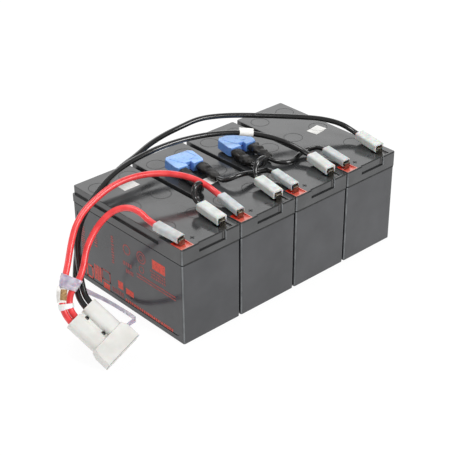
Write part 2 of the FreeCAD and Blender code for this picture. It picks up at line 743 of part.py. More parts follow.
def make_fuse_boots(fuse):
    boots = [make_insulator("FuseBoot", fuse_place(fuse, side), "boot_width", "boot_height",
                            "boot_start", "boot_length", "jumper_diameter", "blade_width")
             for side in COLUMNS]
    return combine("Compound", "fuse_boots_%d" % fuse, boots)


def make_receptacles():
    pieces = [make_receptacle(terminal_place(pole, block), "sleeve_start", "sleeve_length",
                              "tab_width") for block in BLOCKS for pole in POLES]
    pieces += [make_receptacle(fuse_place(fuse, side), "boot_start", "boot_length",
                               "blade_width") for fuse in FUSES for side in COLUMNS]
    return combine("Compound", "receptacles", pieces)


# ---- power connector ----------------------------------------------------------------------

def connector_place():
    """Frame of the connector: +X across the poles, +Y from the mating face to the leads."""
    base = Vector(size("connector_x"), size("connector_y"), size("connector_z"))
    return Placement(base, Rotation(size("connector_yaw"), size("connector_pitch"),
                                    size("connector_roll")))


def draw_pair(sketch, width, height):
    """The same rectangle round the middle of each barrel."""
    for side in COLUMNS:
        middle = "%d * barrel_pitch / 2" % side
        draw_rectangle(sketch, middle + " - %s / 2" % width, middle + " + %s / 2" % width,
                       "-%s / 2" % height, "%s / 2" % height)


def make_connector_housing():
    """One moulding: a square hood for both contacts, two barrels for the leads, a web."""
    body = new_body("connector_housing", connector_place())
    hood = new_sketch(body, "Hood", "XY_Plane", "-connector_height / 2")
    shoulder = "(barrel_pitch + barrel_width) / 2"
    draw_polygon(hood, [
        ("-connector_width / 2", "0"),
        ("connector_width / 2", "0"),
        ("connector_width / 2", "hood_length - hood_taper"),
        (shoulder, "hood_length"),
        ("-" + shoulder, "hood_length"),
        ("-connector_width / 2", "hood_length - hood_taper"),
    ])
    extrude(body, "Pad", "HoodBlock", hood, "connector_height")
    dress(body, "Fillet", "HoodEdges", "hood_edge",
          lambda edge: abs(edge.BoundBox.ZLength) < 0.01
          and edge.BoundBox.YMax > size("hood_edge"))
    barrels = new_sketch(body, "Barrels", "XZ_Plane", "-hood_length + hood_taper / 2")
    draw_pair(barrels, "barrel_width", "barrel_height")
    extrude(body, "Pad", "BarrelPair", barrels, "connector_length - hood_length + hood_taper / 2",
            reverse=True)
    behind = size("hood_length") + 0.01
    dress(body, "Fillet", "BarrelEdges", "barrel_radius",
          lambda edge: is_along(edge, ALONG) and edge.BoundBox.YMax > behind)
    web = new_sketch(body, "Web", "XY_Plane", "-web_thickness / 2")
    draw_rectangle(web, "-barrel_pitch / 2", "barrel_pitch / 2",
                   "hood_length - hood_taper / 2", "connector_length - hood_edge")
    extrude(body, "Pad", "BarrelWeb", web, "web_thickness")
    fixings = new_sketch(body, "Fixings", "XY_Plane", "connector_height / 2")
    for step in (0, 1):
        draw_circle(fixings, "0", "connector_length - fixing_inset - %d * fixing_pitch" % step,
                    "fixing_diameter")
    extrude(body, "Pocket", "FixingHoles", fixings, "connector_height")
    mouths = new_sketch(body, "Mouths", "XZ_Plane")
    draw_pair(mouths, "mouth_width", "mouth_height")
    extrude(body, "Pocket", "MouthPair", mouths, "mouth_depth")
    channels = new_sketch(body, "Channels", "XZ_Plane")
    for side in COLUMNS:
        middle = "%d * barrel_pitch / 2" % side
        draw_rectangle(channels, middle + " - contact_width / 2 - fit_gap",
                       middle + " + contact_width / 2 + fit_gap",
                       "-contact_thickness / 2 - contact_drop",
                       "contact_thickness / 2 - contact_drop")
    extrude(body, "Pocket", "ContactChannels", channels, "connector_length - entry_depth")
    entries = new_sketch(body, "Entries", "XZ_Plane", "-connector_length")
    draw_pair(entries, "entry_width", "entry_height")
    extrude(body, "Pocket", "LeadEntries", entries, "entry_depth", reverse=True)
    return body


def make_connector_contacts():
    """Two flat contacts, each from its mouth to just short of the ends of its leads."""
    contacts = []
    for side in COLUMNS:
        contacts.append(new_box("Contact", (
            "%d * barrel_pitch / 2 - contact_width / 2" % side, "contact_inset",
            "-contact_thickness / 2 - contact_drop"),
            ("contact_width", "connector_length - entry_depth - contact_inset",
             "contact_thickness")))
    return combine("Compound", "connector_contacts", contacts, connector_place())


# ---- wires --------------------------------------------------------------------------------

RUN_SHARE = 0.45


def middle_line(points):
    """Straight runs joined by tangent arcs, with the radius of each arc."""
    points = [Vector(*point) for point in points]
    edges, radii = [], []
    start = points[0]
    for before, corner, after in zip(points, points[1:], points[2:]):
        back, on = before - corner, after - corner
        turn = math.pi - back.getAngle(on)
        reach = RUN_SHARE * min(back.Length, on.Length)
        radius = reach / math.tan(turn / 2)
        inward = (back.normalize() + on.normalize()).normalize()
        first = corner + back * reach
        last = corner + on * reach
        middle = corner + inward * (radius / math.cos(turn / 2) - radius)
        edges.append(Part.LineSegment(start, first).toShape())
        edges.append(Part.Arc(first, middle, last).toShape())
        start = last
        radii.append(radius)
    edges.append(Part.LineSegment(start, points[-1]).toShape())
    return Part.Wire(edges), radii


def make_wire(name, points, diameter):
    line, radii = middle_line(points)
    run = Vector(*points[1]) - Vector(*points[0])
    ring = Part.Wire(Part.makeCircle(size(diameter) / 2, Vector(*points[0]), run))
    tube = document.addObject("Part::Feature", name)
    tube.Label = name
    tube.Shape = line.makePipeShell([ring], True, False)
    expected = math.pi * size(diameter) ** 2 / 4 * line.Length
    print("%s: %.0f mm long, radii %.1f to %.1f diameters, volume %.4f of section by length"
          % (name, line.Length, min(radii) / size(diameter), max(radii) / size(diameter),
             tube.Shape.Volume / expected))
    return tube


def make_strap(points):
    """The pull strap: a flat band on edge that loops from the connector round its leads."""
    line, _ = middle_line(points)
    start = Vector(*points[0])
    run = (Vector(*points[1]) - start).normalize()
    side = run.cross(UP).normalize() * (size("strap_section_thickness") / 2)
    rise = run.cross(side).normalize() * (size("strap_section_width") / 2)
    corners = [start + side + rise, start - side + rise, start - side - rise,
               start + side - rise]
    sweep = Part.BRepOffsetAPI.MakePipeShell(line)
    sweep.setBiNormalMode(UP)
    sweep.add(Part.makePolygon(corners + corners[:1]))
    sweep.build()
    sweep.makeSolid()
    strap = document.addObject("Part::Feature", "pull_strap")
    strap.Label = "pull_strap"
    strap.Shape = sweep.shape()
    return strap


def make_lead_labels():
    """A wrapped paper marker on one red lead and one black lead."""
    pieces = []
    for route, step, diameter in MARKERS:
        first, second = (Vector(*point) for point in ROUTES[route][step:step + 2])
        run = second - first
        length = min(size("marker_length"), 0.9 * (1 - 2 * RUN_SHARE) * run.Length)
        start = (first + second) / 2 - run.normalize() * (length / 2)
        outer = Part.makeCylinder(size(diameter) / 2 + size("marker_wall"), length, start, run)
        inner = Part.makeCylinder(size(diameter) / 2, length, start, run)
        pieces.append(outer.cut(inner))
    labels = document.addObject("Part::Feature", "lead_labels")
    labels.Label = "lead_labels"
    labels.Shape = Part.makeCompound(pieces)
    return labels


# ---- small pieces -------------------------------------------------------------------------

def make_stickers():
    stickers = []
    for block, x, y, turn in STICKER_PLACES:
        sticker = document.addObject("Part::Box", "Sticker")
        bind(sticker, Length="sticker_width", Width="sticker_length",
             Height="sticker_thickness")
        corner = Vector(-size("sticker_width") / 2, -size("sticker_length") / 2, 0)
        middle = Placement(block_place(block).Base + Vector(x, y, size("lid_top")),
                           Rotation(UP, turn))
        sticker.Placement = middle.multiply(Placement(corner, Rotation()))
        stickers.append(sticker)
    return combine("Compound", "lid_stickers", stickers)


def make_tapes():
    """Double-sided tape between the recessed panels of neighbouring containers."""
    thickness = "(block_pitch - container_width + 2 * panel_depth)"
    tapes = [new_box("Tape", (block_x(block) + " + block_pitch / 2 - %s / 2" % thickness,
                              "-tape_length / 2", "tape_base"),
                     (thickness, "tape_length", "tape_height"))
             for block in BLOCKS[:-1]]
    return combine("Compound", "bonding_tapes", tapes)


# ---- the whole part -----------------------------------------------------------------------

nodes = []
for block in BLOCKS:
    nodes += [make_container(block), make_lid(block), make_plate_groups(block)]
    for pole in POLES:
        nodes += [make_tab(pole, block), make_seal(pole, block), make_sleeve(pole, block)]
nodes += [make_vent_caps(), make_tapes(), make_stickers(), make_receptacles()]
for fuse in FUSES:
    element = make_fuse_element(fuse)
    nodes += [element, make_fuse_body(fuse, element), make_fuse_boots(fuse)]
nodes += [make_connector_housing(), make_connector_contacts()]
for name, points in ROUTES.items():
    if name != "pull_strap":
        nodes.append(make_wire(name, points, WIRE_SIZES[name]))
nodes += [make_strap(ROUTES["pull_strap"]), make_lead_labels()]
document.recompute()

failed = ["%s (%s)" % (thing.Label, ", ".join(thing.State)) for thing in document.Objects
          if "Invalid" in thing.State or "Error" in thing.State]
if failed:
    raise RuntimeError("These did not recompute: " + "; ".join(failed))
os.makedirs("parts", exist_ok=True)
for node in nodes:
    if node.Shape.isNull() or not node.Shape.isValid():
        raise RuntimeError("%s has no valid shape" % node.Label)
    node.Shape.exportStep("parts/%s.step" % node.Label)
print("%d nodes written" % len(nodes))
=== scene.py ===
import bpy
import bmesh
import math
import random
from mathutils import Matrix, Vector, noise


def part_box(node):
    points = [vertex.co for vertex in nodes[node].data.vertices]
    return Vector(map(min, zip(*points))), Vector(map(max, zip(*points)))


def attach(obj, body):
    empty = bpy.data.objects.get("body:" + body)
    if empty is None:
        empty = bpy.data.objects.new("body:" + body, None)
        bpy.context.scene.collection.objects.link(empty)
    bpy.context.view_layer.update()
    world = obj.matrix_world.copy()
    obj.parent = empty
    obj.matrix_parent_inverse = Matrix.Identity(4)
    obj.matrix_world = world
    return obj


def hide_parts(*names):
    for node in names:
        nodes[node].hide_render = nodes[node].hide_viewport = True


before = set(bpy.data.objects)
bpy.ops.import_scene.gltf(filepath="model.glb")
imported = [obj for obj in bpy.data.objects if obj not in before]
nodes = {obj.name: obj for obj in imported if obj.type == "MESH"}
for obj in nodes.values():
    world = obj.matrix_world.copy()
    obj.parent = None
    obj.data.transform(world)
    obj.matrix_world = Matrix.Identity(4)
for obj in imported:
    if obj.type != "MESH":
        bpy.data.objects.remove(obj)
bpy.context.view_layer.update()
mm = 0.001
blocks = (1, 2, 3, 4)
fuses = (1, 2)
poles = ("positive", "negative")
print("frame loaded:", len(nodes), "nodes")

camera = {
    "target": (-0.02538, -0.01464, 0.047),
    "azimuth": -42.217,
    "elevation": 30.486,
    "roll": -0.349,
    "distance": 1.08579,
    "lens": 93.94,
    "sensor": 36,
}


def placeCamera():
    azimuth, elevation, roll = (math.radians(camera[key])
                                for key in ("azimuth", "elevation", "roll"))
    data = bpy.data.cameras.new("viewCamera")
    data.sensor_width = camera["sensor"]
    data.lens = camera["lens"]
    viewer = bpy.data.objects.new("viewCamera", data)
    back = Vector((math.sin(azimuth) * math.cos(elevation),
                   -math.cos(azimuth) * math.cos(elevation), math.sin(elevation)))
    turn = (Matrix.Rotation(azimuth, 4, "Z") @ Matrix.Rotation(math.pi / 2 - elevation, 4, "X")
            @ Matrix.Rotation(roll, 4, "Z"))
    place = Vector(camera["target"]) + back * camera["distance"]
    viewer.matrix_world = Matrix.Translation(place) @ turn
    bpy.context.scene.collection.objects.link(viewer)
    bpy.context.scene.camera = viewer


placeCamera()
print("camera placed")


def addObject(name, data, material=None, slot=None):
    thing = bpy.data.objects.new(name, data)
    bpy.context.scene.collection.objects.link(thing)
    if material is not None:
        data.materials.append(material)
    if slot is not None:
        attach(thing, "root")
    return thing


cordMesh = {"steps": 10, "bevelSteps": 6}


def routeCurve(name, route, diameter=0.0):
    curve = bpy.data.curves.new(name, "CURVE")
    curve.dimensions = "3D"
    curve.resolution_u = cordMesh["steps"]
    curve.bevel_depth = diameter / 2
    curve.bevel_resolution = cordMesh["bevelSteps"]
    curve.use_fill_caps = True
    spline = curve.splines.new("NURBS")
    spline.points.add(len(route) - 1)
    for point, place in zip(spline.points, route):
        point.co = (*place, 1)
    spline.order_u = 3  # after the points, because a new spline has only one
    spline.use_endpoint_u = True
    return curve


# The points of a route's smooth line, for what lies along it.
def readRoute(route):
    curve = routeCurve("routeLine", route)
    line = addObject("routeLine", curve)
    mesh = bpy.data.meshes.new_from_object(line)
    points = [vertex.co.copy() for vertex in mesh.vertices]
    bpy.data.objects.remove(line)
    bpy.data.curves.remove(curve)
    bpy.data.meshes.remove(mesh)
    return points


# The stretch of a line between two distances from its start, cut at both ends.
def stretchOf(points, start, end):
    stretch, passed = [], 0.0
    for first, second in zip(points, points[1:]):
        step = (second - first).length
        if passed + step > start and passed < end:
            low = max(0.0, (start - passed) / step)
            high = min(1.0, (end - passed) / step)
            if not stretch:
                stretch.append(first.lerp(second, low))
            stretch.append(first.lerp(second, high))
        passed += step
    return stretch


# How far along a line the place nearest to it lies.
def distanceNear(points, place):
    best, passed, found = None, 0.0, 0.0
    for first, second in zip(points, points[1:]):
        gap = (first - Vector(place)).length
        if best is None or gap < best:
            best, found = gap, passed
        passed += (second - first).length
    return found


def meshObject(name, mesh, material, slot, smooth=True):
    data = bpy.data.meshes.new(name)
    bmesh.ops.recalc_face_normals(mesh, faces=mesh.faces)
    mesh.to_mesh(data)
    mesh.free()
    for face in data.polygons:
        face.use_smooth = smooth
    return addObject(name, data, material, slot)


# Faces between each ring of points and the next. A closed loop also joins the last ring to the
# first, and an open tube gets a face at each end.
def bridgeRings(mesh, rings, closed=False):
    for first, second in zip(rings, rings[1:] + (rings[:1] if closed else [])):
        for index in range(len(first)):
            after = (index + 1) % len(first)
            mesh.faces.new((first[index], first[after], second[after], second[index]))
    if not closed:
        mesh.faces.new(list(reversed(rings[0])))
        mesh.faces.new(rings[-1])


# One section all along a line, with its second direction kept upright.
def sweepSection(mesh, points, section):
    upright = Vector((0, 0, 1))
    rings = []
    for index, point in enumerate(points):
        before = points[max(index - 1, 0)]
        after = points[min(index + 1, len(points) - 1)]
        along = (after - before).normalized()
        rise = (upright - along * upright.dot(along)).normalized()
        side = along.cross(rise)
        rings.append([mesh.verts.new(point + side * x + rise * y) for x, y in section])
    bridgeRings(mesh, rings)


# Points round a circle of radius 1.
def circle(count):
    turns = [2 * math.pi * index / count for index in range(count)]
    return [(math.cos(turn), math.sin(turn)) for turn in turns]


def linearColour(hexColour):
    channels = [int(hexColour[i:i + 2], 16) / 255 for i in (1, 3, 5)]
    linear = [c / 12.92 if c <= 0.04045 else ((c + 0.055) / 1.055) ** 2.4 for c in channels]
    return linear + [1.0]


# Adds a node: its settings by name, its inputs as numbers or as another node's output.
def addNode(tree, kind, inputs=None, **settings):
    node = tree.nodes.new(kind)
    for name, value in settings.items():
        setattr(node, name, value)
    for socket, value in (inputs or {}).items():
        if isinstance(value, bpy.types.NodeSocket):
            tree.links.new(value, node.inputs[socket])
        else:
            node.inputs[socket].default_value = value
    return node


def startMaterial(name, colour, roughness, **settings):
    material = bpy.data.materials.new(name)
    material.use_nodes = True
    tree = material.node_tree
    shader = tree.nodes["Principled BSDF"]
    shader.inputs["Base Color"].default_value = linearColour(colour)
    shader.inputs["Roughness"].default_value = roughness
    for socket, value in settings.items():
        shader.inputs[socket.replace("_", " ")].default_value = value
    place = addNode(tree, "ShaderNodeTexCoord").outputs["Object"]
    return material, tree, shader, place


# Noise with lumps of about this size, drawn out along an axis whose share is below 1.
def cloud(tree, place, size, detail, stretch=(1, 1, 1)):
    scaled = addNode(tree, "ShaderNodeMapping", {"Vector": place, "Scale": stretch})
    pattern = addNode(tree, "ShaderNodeTexNoise", {"Vector": scaled.outputs[0],
                                                   "Scale": 1 / size, "Detail": detail})
    return pattern.outputs["Fac"]


# Colour that drifts between two shades as a pattern goes from low to high.
def tintBy(tree, shader, pattern, first, second, low=0.35, high=0.65):
    ramp = addNode(tree, "ShaderNodeValToRGB", {"Fac": pattern})
    ramp.color_ramp.elements[0].position = low
    ramp.color_ramp.elements[1].position = high
    ramp.color_ramp.elements[0].color = linearColour(first)
    ramp.color_ramp.elements[1].color = linearColour(second)
    tree.links.new(ramp.outputs["Color"], shader.inputs["Base Color"])
    return ramp


# A cloud's values mostly lie between 0.3 and 0.7.
def roughenBy(tree, shader, pattern, low, high):
    spread = addNode(tree, "ShaderNodeMapRange", {"Value": pattern, "From Min": 0.3,
                                                  "From Max": 0.7, "To Min": low, "To Max": high})
    tree.links.new(spread.outputs["Result"], shader.inputs["Roughness"])


def bumpBy(tree, shader, pattern, depth, strength):
    bump = addNode(tree, "ShaderNodeBump", {"Height": pattern, "Distance": depth,
                                            "Strength": strength})
    tree.links.new(bump.outputs["Normal"], shader.inputs["Normal"])


# A finish whose tint, roughness and bump each follow a cloud of their own. The first two values
# of each are the cloud's size in mm and its detail. The others are the two shades, the two
# roughnesses, or the bump's depth in mm and its strength.
def cloudedFinish(name, colour, roughness, tint, rough=None, bump=None, **settings):
    material, tree, shader, place = startMaterial(name, colour, roughness, **settings)
    size, detail, dark, light = tint
    tintBy(tree, shader, cloud(tree, place, size * mm, detail), dark, light)
    if rough:
        size, detail, low, high = rough
        roughenBy(tree, shader, cloud(tree, place, size * mm, detail), low, high)
    if bump:
        size, detail, depth, strength = bump
        bumpBy(tree, shader, cloud(tree, place, size * mm, detail), depth * mm, strength)
    return material


# Container walls: ABS from a polished mould, a near-black grey that mirrors the floor and the
# leads, with a slow ripple from uneven cooling and dull patches where hands have been.
def mouldedAbs():
    return cloudedFinish("mouldedAbs", "#37383b", 0.16, tint=(38, 3, "#333437", "#3f4043"),
                         rough=(21, 5, 0.1, 0.24), bump=(22, 1, 0.2, 0.35), IOR=1.56)


# Lids: the same ABS, smoother still, so that wires and sleeves mirror in the top, dulled in
# places by dust and handling.
def smoothAbs():
    return cloudedFinish("smoothAbs", "#3a3b3c", 0.13, tint=(24, 5, "#353637", "#424344"),
                         rough=(17, 6, 0.08, 0.2), bump=(16, 1, 0.12, 0.4), IOR=1.6)


# A painted highlight on corners and steps of the ABS: paler and duller than the walls.
def paintedHighlightAbs():
    return cloudedFinish("paintedHighlightAbs", "#696c6e", 0.42, tint=(9, 4, "#5f6264", "#7a7d7f"),
                         rough=(5, 4, 0.34, 0.55))


# The weld line, where the hot plate melted and chilled the ABS: near black, dull and uneven.
# The same near black also stands as painted shade under the top edge of each lid's front.
def weldAndShadeAbs():
    return cloudedFinish("weldAndShadeAbs", "#161718", 0.62, tint=(7, 4, "#101112", "#202122"),
                         rough=(3, 4, 0.5, 0.75))


# Poured epoxy round the tabs: glossy, a little lumpy where it set, and chalky towards the front
# edge, where it lies thin over the wall. That edge is the same on every block.
def pouredEpoxy(name, dark, light, thin):
    material, tree, shader, place = startMaterial(name, light, 0.25, IOR=1.55, Coat_Weight=0.3)
    ramp = tintBy(tree, shader, cloud(tree, place, 3.5 * mm, 4), dark, light)
    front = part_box("positive_seal_1")[0].y
    # chalky for the first millimetre, and fading over the next seven
    along = addNode(tree, "ShaderNodeSeparateXYZ", {"Vector": place}).outputs["Y"]
    share = addNode(tree, "ShaderNodeMapRange", {"Value": along, "From Min": front + 1 * mm,
                                                 "From Max": front + 8 * mm, "To Min": 0.85,
                                                 "To Max": 0.0})
    mix = addNode(tree, "ShaderNodeMix", {"Factor": share.outputs["Result"]}, data_type="RGBA")
    tree.links.new(ramp.outputs["Color"], mix.inputs[6])  # 6 and 7 are the mix's two colours
    mix.inputs[7].default_value = linearColour(thin)
    tree.links.new(mix.outputs[2], shader.inputs["Base Color"])
    bumpBy(tree, shader, cloud(tree, place, 2.4 * mm, 3), 0.25 * mm, 0.7)
    return material


# Sheet metal: fine streaks along the sheet, in its colour and in its polish.
def streakedMetal(name, colour, roughness, width, squeeze, shades, polish):
    material, tree, shader, place = startMaterial(name, colour, roughness, Metallic=1.0)
    streaks = cloud(tree, place, width, 3, (1, squeeze, 1))
    tintBy(tree, shader, streaks, *shades)
    roughenBy(tree, shader, streaks, *polish)
    return material


# Tinned brass from a stamping press: pale, softly streaked along the sheet.
def tinnedBrass():
    return streakedMetal("tinnedBrass", "#8f897c", 0.2, 1.4 * mm, 0.12, ("#7c766a", "#a39d90"),
                         (0.14, 0.28))


# Moulded nylon sleeves: milky, so that light bleeds through the walls.
def milkyNylon(name, dark, light):
    return cloudedFinish(name, light, 0.38, tint=(6, 4, dark, light), bump=(1.5, 2, 0.04, 0.5),
                         IOR=1.53, Subsurface_Weight=0.35, Subsurface_Scale=2.2 * mm)


# PVC insulation as it leaves the extruder: smooth, with faint swells where it runs thicker.
def extrudedPvc(name, dark, light, roughness, coat):
    return cloudedFinish(name, light, roughness, tint=(9, 3, dark, light),
                         rough=(14, 3, roughness * 0.85, roughness * 1.2),
                         bump=(6, 1, 0.05, 0.3), IOR=1.53, Coat_Weight=coat, Coat_Roughness=0.16)


# Connector housing: off-white polycarbonate, satin, yellowed a little unevenly.
def satinPolycarbonate():
    return cloudedFinish("satinPolycarbonate", "#dddcd8", 0.36,
                         tint=(15, 3, "#d6d5d0", "#e3e2de"), rough=(6, 4, 0.3, 0.46),
                         bump=(1.1, 2, 0.03, 0.5), IOR=1.58, Subsurface_Weight=0.12,
                         Subsurface_Scale=1.5 * mm)


# Silver-plated copper contacts, rolled: bright with fine lines along the length.
def platedCopper():
    return streakedMetal("platedCopper", "#d9d7d2", 0.22, 1.0 * mm, 0.1, ("#c8c4bb", "#e4e2de"),
                         (0.16, 0.34))


# Eyelets and the mouth's rim line: dark, slightly worn steel that stands as painted shade.
def paintedShadeSteel():
    return cloudedFinish("paintedShadeSteel", "#4a4a49", 0.42, tint=(1.2, 4, "#3a3a39", "#6a6965"),
                         rough=(2, 4, 0.34, 0.55), Metallic=0.8)


# Fuse shell: blue polycarbonate, with painted light and shade: paler on faces that look up
# and a shade deeper on the sides.
def tintedPolycarbonate():
    material, tree, shader, place = startMaterial("tintedPolycarbonate", "#86adf2", 0.3, IOR=1.58,
                                                  Subsurface_Weight=0.15, Subsurface_Scale=2 * mm)
    facing = addNode(tree, "ShaderNodeNewGeometry").outputs["Normal"]
    up = addNode(tree, "ShaderNodeSeparateXYZ", {"Vector": facing}).outputs["Z"]
    drift = cloud(tree, place, 5 * mm, 3)
    # the cloud only unsettles the change from the painted shade of the sides to the painted light of
    # the top
    paintedTopLight = addNode(tree, "ShaderNodeMath", {0: drift, 1: 0.06, 2: up}, operation="MULTIPLY_ADD")
    tintBy(tree, shader, paintedTopLight.outputs[0], "#76a4ec", "#a3c9ff", 0.1, 0.8)
    roughenBy(tree, shader, cloud(tree, place, 4 * mm, 4), 0.22, 0.4)
    return material


# Boots: black EPDM rubber that has shrunk on, dull with a few shiny rubs.
def shrunkRubber():
    return cloudedFinish("shrunkRubber", "#1b1a18", 0.42, tint=(4, 5, "#0f0e0d", "#221f1b"),
                         rough=(6, 5, 0.2, 0.6), bump=(1.6, 4, 0.18, 0.8))


# Matt paper stickers and wire markers: white with a faint fibre mottle.
def uncoatedPaper():
    return cloudedFinish("uncoatedPaper", "#f5f5f2", 0.78, tint=(1.8, 5, "#ecebe6", "#f8f8f6"),
                         bump=(0.9, 3, 0.03, 0.6))


# Kraft card tag: brown, with darker flecks.
def kraftCard():
    return cloudedFinish("kraftCard", "#b08a5c", 0.8, tint=(1.6, 6, "#8d6a42", "#c29c6c"),
                         bump=(1.2, 3, 0.05, 0.7))


# Closed-cell foam tape between the containers: dark and dull, with fine open pores at the cut.
def cutFoam():
    material, tree, shader, place = startMaterial("cutFoam", "#2c2c2d", 0.9)
    pores = addNode(tree, "ShaderNodeTexVoronoi", {"Vector": place, "Scale": 1 / (1.2 * mm)})
    tintBy(tree, shader, pores.outputs["Distance"], "#1d1d1e", "#343435", 0.1, 0.5)
    bumpBy(tree, shader, pores.outputs["Distance"], 0.15 * mm, 0.8)
    return material


# Pull strap: calendered vinyl, a cloudy lilac grey that lets some light through.
def cloudyVinyl():
    return cloudedFinish("cloudyVinyl", "#c9c2d6", 0.22, tint=(7, 4, "#bbb2c9", "#eae5f1"),
                         bump=(3, 3, 0.1, 0.5), IOR=1.53, Transmission_Weight=0.25,
                         Subsurface_Weight=0.3, Subsurface_Scale=2 * mm)


# Cast lead plates and straps: dull blue grey with a crystalline skin.
def castLead():
    material, tree, shader, place = startMaterial("castLead", "#70747a", 0.55, Metallic=0.9)
    crystals = addNode(tree, "ShaderNodeTexVoronoi", {"Vector": place, "Scale": 1 / (3 * mm)})
    tintBy(tree, shader, crystals.outputs["Distance"], "#5d6167", "#858a90", 0.1, 0.6)
    roughenBy(tree, shader, cloud(tree, place, 4 * mm, 4), 0.42, 0.66)
    return material


# Pad-printed ink, red on the wall and near black on marks and seams: a thin film that breaks up
# a little over the grain.
def padInk(name, dark, light):
    material, tree, shader, place = startMaterial(name, light, 0.45)
    tintBy(tree, shader, cloud(tree, place, 1.6 * mm, 5), dark, light, 0.3, 0.6)
    return material


finishes = {
    "case": mouldedAbs(),
    "lid": smoothAbs(),
    "paintedHighlight": paintedHighlightAbs(),
    "weldAndShade": weldAndShadeAbs(),
    "redEpoxy": pouredEpoxy("redEpoxy", "#b8200f", "#e83c22", "#d9806f"),
    "blackEpoxy": pouredEpoxy("blackEpoxy", "#161616", "#2a2a2a", "#3a3938"),
    "tab": tinnedBrass(),
    "greyNylon": milkyNylon("greyNylon", "#b6babb", "#cbcfd0"),
    "creamNylon": milkyNylon("creamNylon", "#c8ccc9", "#dce0dc"),
    "redPvc": extrudedPvc("redPvc", "#e23438", "#f9494a", 0.3, 0.35),
    "blackPvc": extrudedPvc("blackPvc", "#0c0c0c", "#161616", 0.2, 0.6),
    "connector": satinPolycarbonate(),
    "contact": platedCopper(),
    "paintedShade": paintedShadeSteel(),
    "fuse": tintedPolycarbonate(),
    "rubber": shrunkRubber(),
    "paper": uncoatedPaper(),
    "card": kraftCard(),
    "foam": cutFoam(),
    "vinyl": cloudyVinyl(),
    "band": milkyNylon("whiteNylon", "#e6e6e6", "#f6f6f6"),
    "lead": castLead(),
    "brightInk": padInk("brightInk", "#b02a1e", "#e8482e"),
    "dimInk": padInk("dimInk", "#6e2a2a", "#a63c38"),
    "darkInk": padInk("darkInk", "#242425", "#343435"),
}
print("materials made:", len(finishes))


def dressNode(name, finish):
    for slot in nodes[name].material_slots:
        slot.material = finishes[finish]


for block in blocks:
    dressNode("container_%d" % block, "case")
    dressNode("lid_%d" % block, "lid")
    dressNode("plate_groups_%d" % block, "lead")
    for pole in poles:
        dressNode("%s_tab_%d" % (pole, block), "tab")
    dressNode("positive_seal_%d" % block, "redEpoxy")
    dressNode("negative_seal_%d" % block, "blackEpoxy")
    dressNode("positive_sleeve_%d" % block, "greyNylon")
    dressNode("negative_sleeve_%d" % block, "creamNylon")
for fuse in fuses:
    dressNode("fuse_element_%d" % fuse, "tab")
    dressNode("fuse_body_%d" % fuse, "fuse")
for name, finish in (("vent_caps", "lid"), ("bonding_tapes", "foam"), ("lid_stickers", "paper"),
                     ("receptacles", "tab"), ("connector_housing", "connector"),
                     ("connector_contacts", "contact")):
    dressNode(name, finish)
print("frame dressed")

# Rubber boots on the fuse blades: share of the length, width and height at each station.
boots = {
    "start": 0.8 * mm,
    "length": 26.5 * mm,
    "width": 12.4 * mm,
    "height": 8.2 * mm,
    "pitch": 20 * mm,
    "tilt": 4.0,
    "turn": {1: -6.0, 2: -7.0},
    "profile": ((0.0, 0.9, 0.88), (0.04, 0.99, 0.98), (0.3, 1.0, 1.0), (0.4, 0.93, 0.9),
                (0.47, 0.84, 0.82), (0.54, 0.88, 0.86), (0.66, 0.9, 0.9), (0.74, 0.82, 0.86),
                (0.82, 0.8, 0.84), (0.9, 0.74, 0.8), (0.96, 0.64, 0.74), (1.0, 0.56, 0.68)),
    "squareness": 3.2,
    "lumps": 0.8 * mm,
    "lumpSize": 4 * mm,
    "shrink": 0.7,
    "stations": 44,
    "around": 36,
}


def bootFrame(fuse):
    low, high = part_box("fuse_boots_%d" % fuse)
    turn = (Matrix.Rotation(math.radians(180 + boots["turn"][fuse]), 4, "Z")
            @ Matrix.Rotation(math.radians(-boots["tilt"]), 4, "X"))
    reach = turn @ Vector((0, boots["start"] + boots["length"] / 2, 0))
    return Matrix.Translation((low + high) / 2 - reach) @ turn


def profileAt(profile, share):
    for first, second in zip(profile, profile[1:]):
        if share <= second[0]:
            part = (share - first[0]) / (second[0] - first[0])
            part = part * part * (3 - 2 * part)
            return [a + (b - a) * part for a, b in zip(first[1:], second[1:])]
    return profile[-1][1:]


def makeBoots(fuse):
    mesh = bmesh.new()
    placed = bootFrame(fuse)
    power, lumps = boots["squareness"], boots["lumps"]
    for side in (-1, 1):
        rings = []
        for station in range(boots["stations"] + 1):
            share = station / boots["stations"]
            wide, tall = profileAt(boots["profile"], share)
            y = boots["start"] + share * boots["length"]
            ring = []
            for across, up in circle(boots["around"]):
                reach = (abs(across) ** power + abs(up) ** power) ** (-1 / power)
                x = across * reach * wide * boots["width"] / 2
                z = up * reach * tall * boots["height"] / 2
                # each boot reads its own part of the noise
                swell = noise.noise(Vector((x + 0.03 * side, y, z + 0.1 * fuse)) / boots["lumpSize"])
                grow = 1 + (swell * lumps - lumps * boots["shrink"]) / (boots["height"] / 2)
                place = Vector((x * grow + side * boots["pitch"] / 2, y, z * grow))
                ring.append(mesh.verts.new(placed @ place))
            rings.append(ring)
        bridgeRings(mesh, rings)
    made = meshObject("fuseBoots%d" % fuse, mesh, finishes["rubber"], "boot_rubber")
    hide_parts("fuse_boots_%d" % fuse)
    return made


bootPairs = {fuse: makeBoots(fuse) for fuse in fuses}
print("boots made")

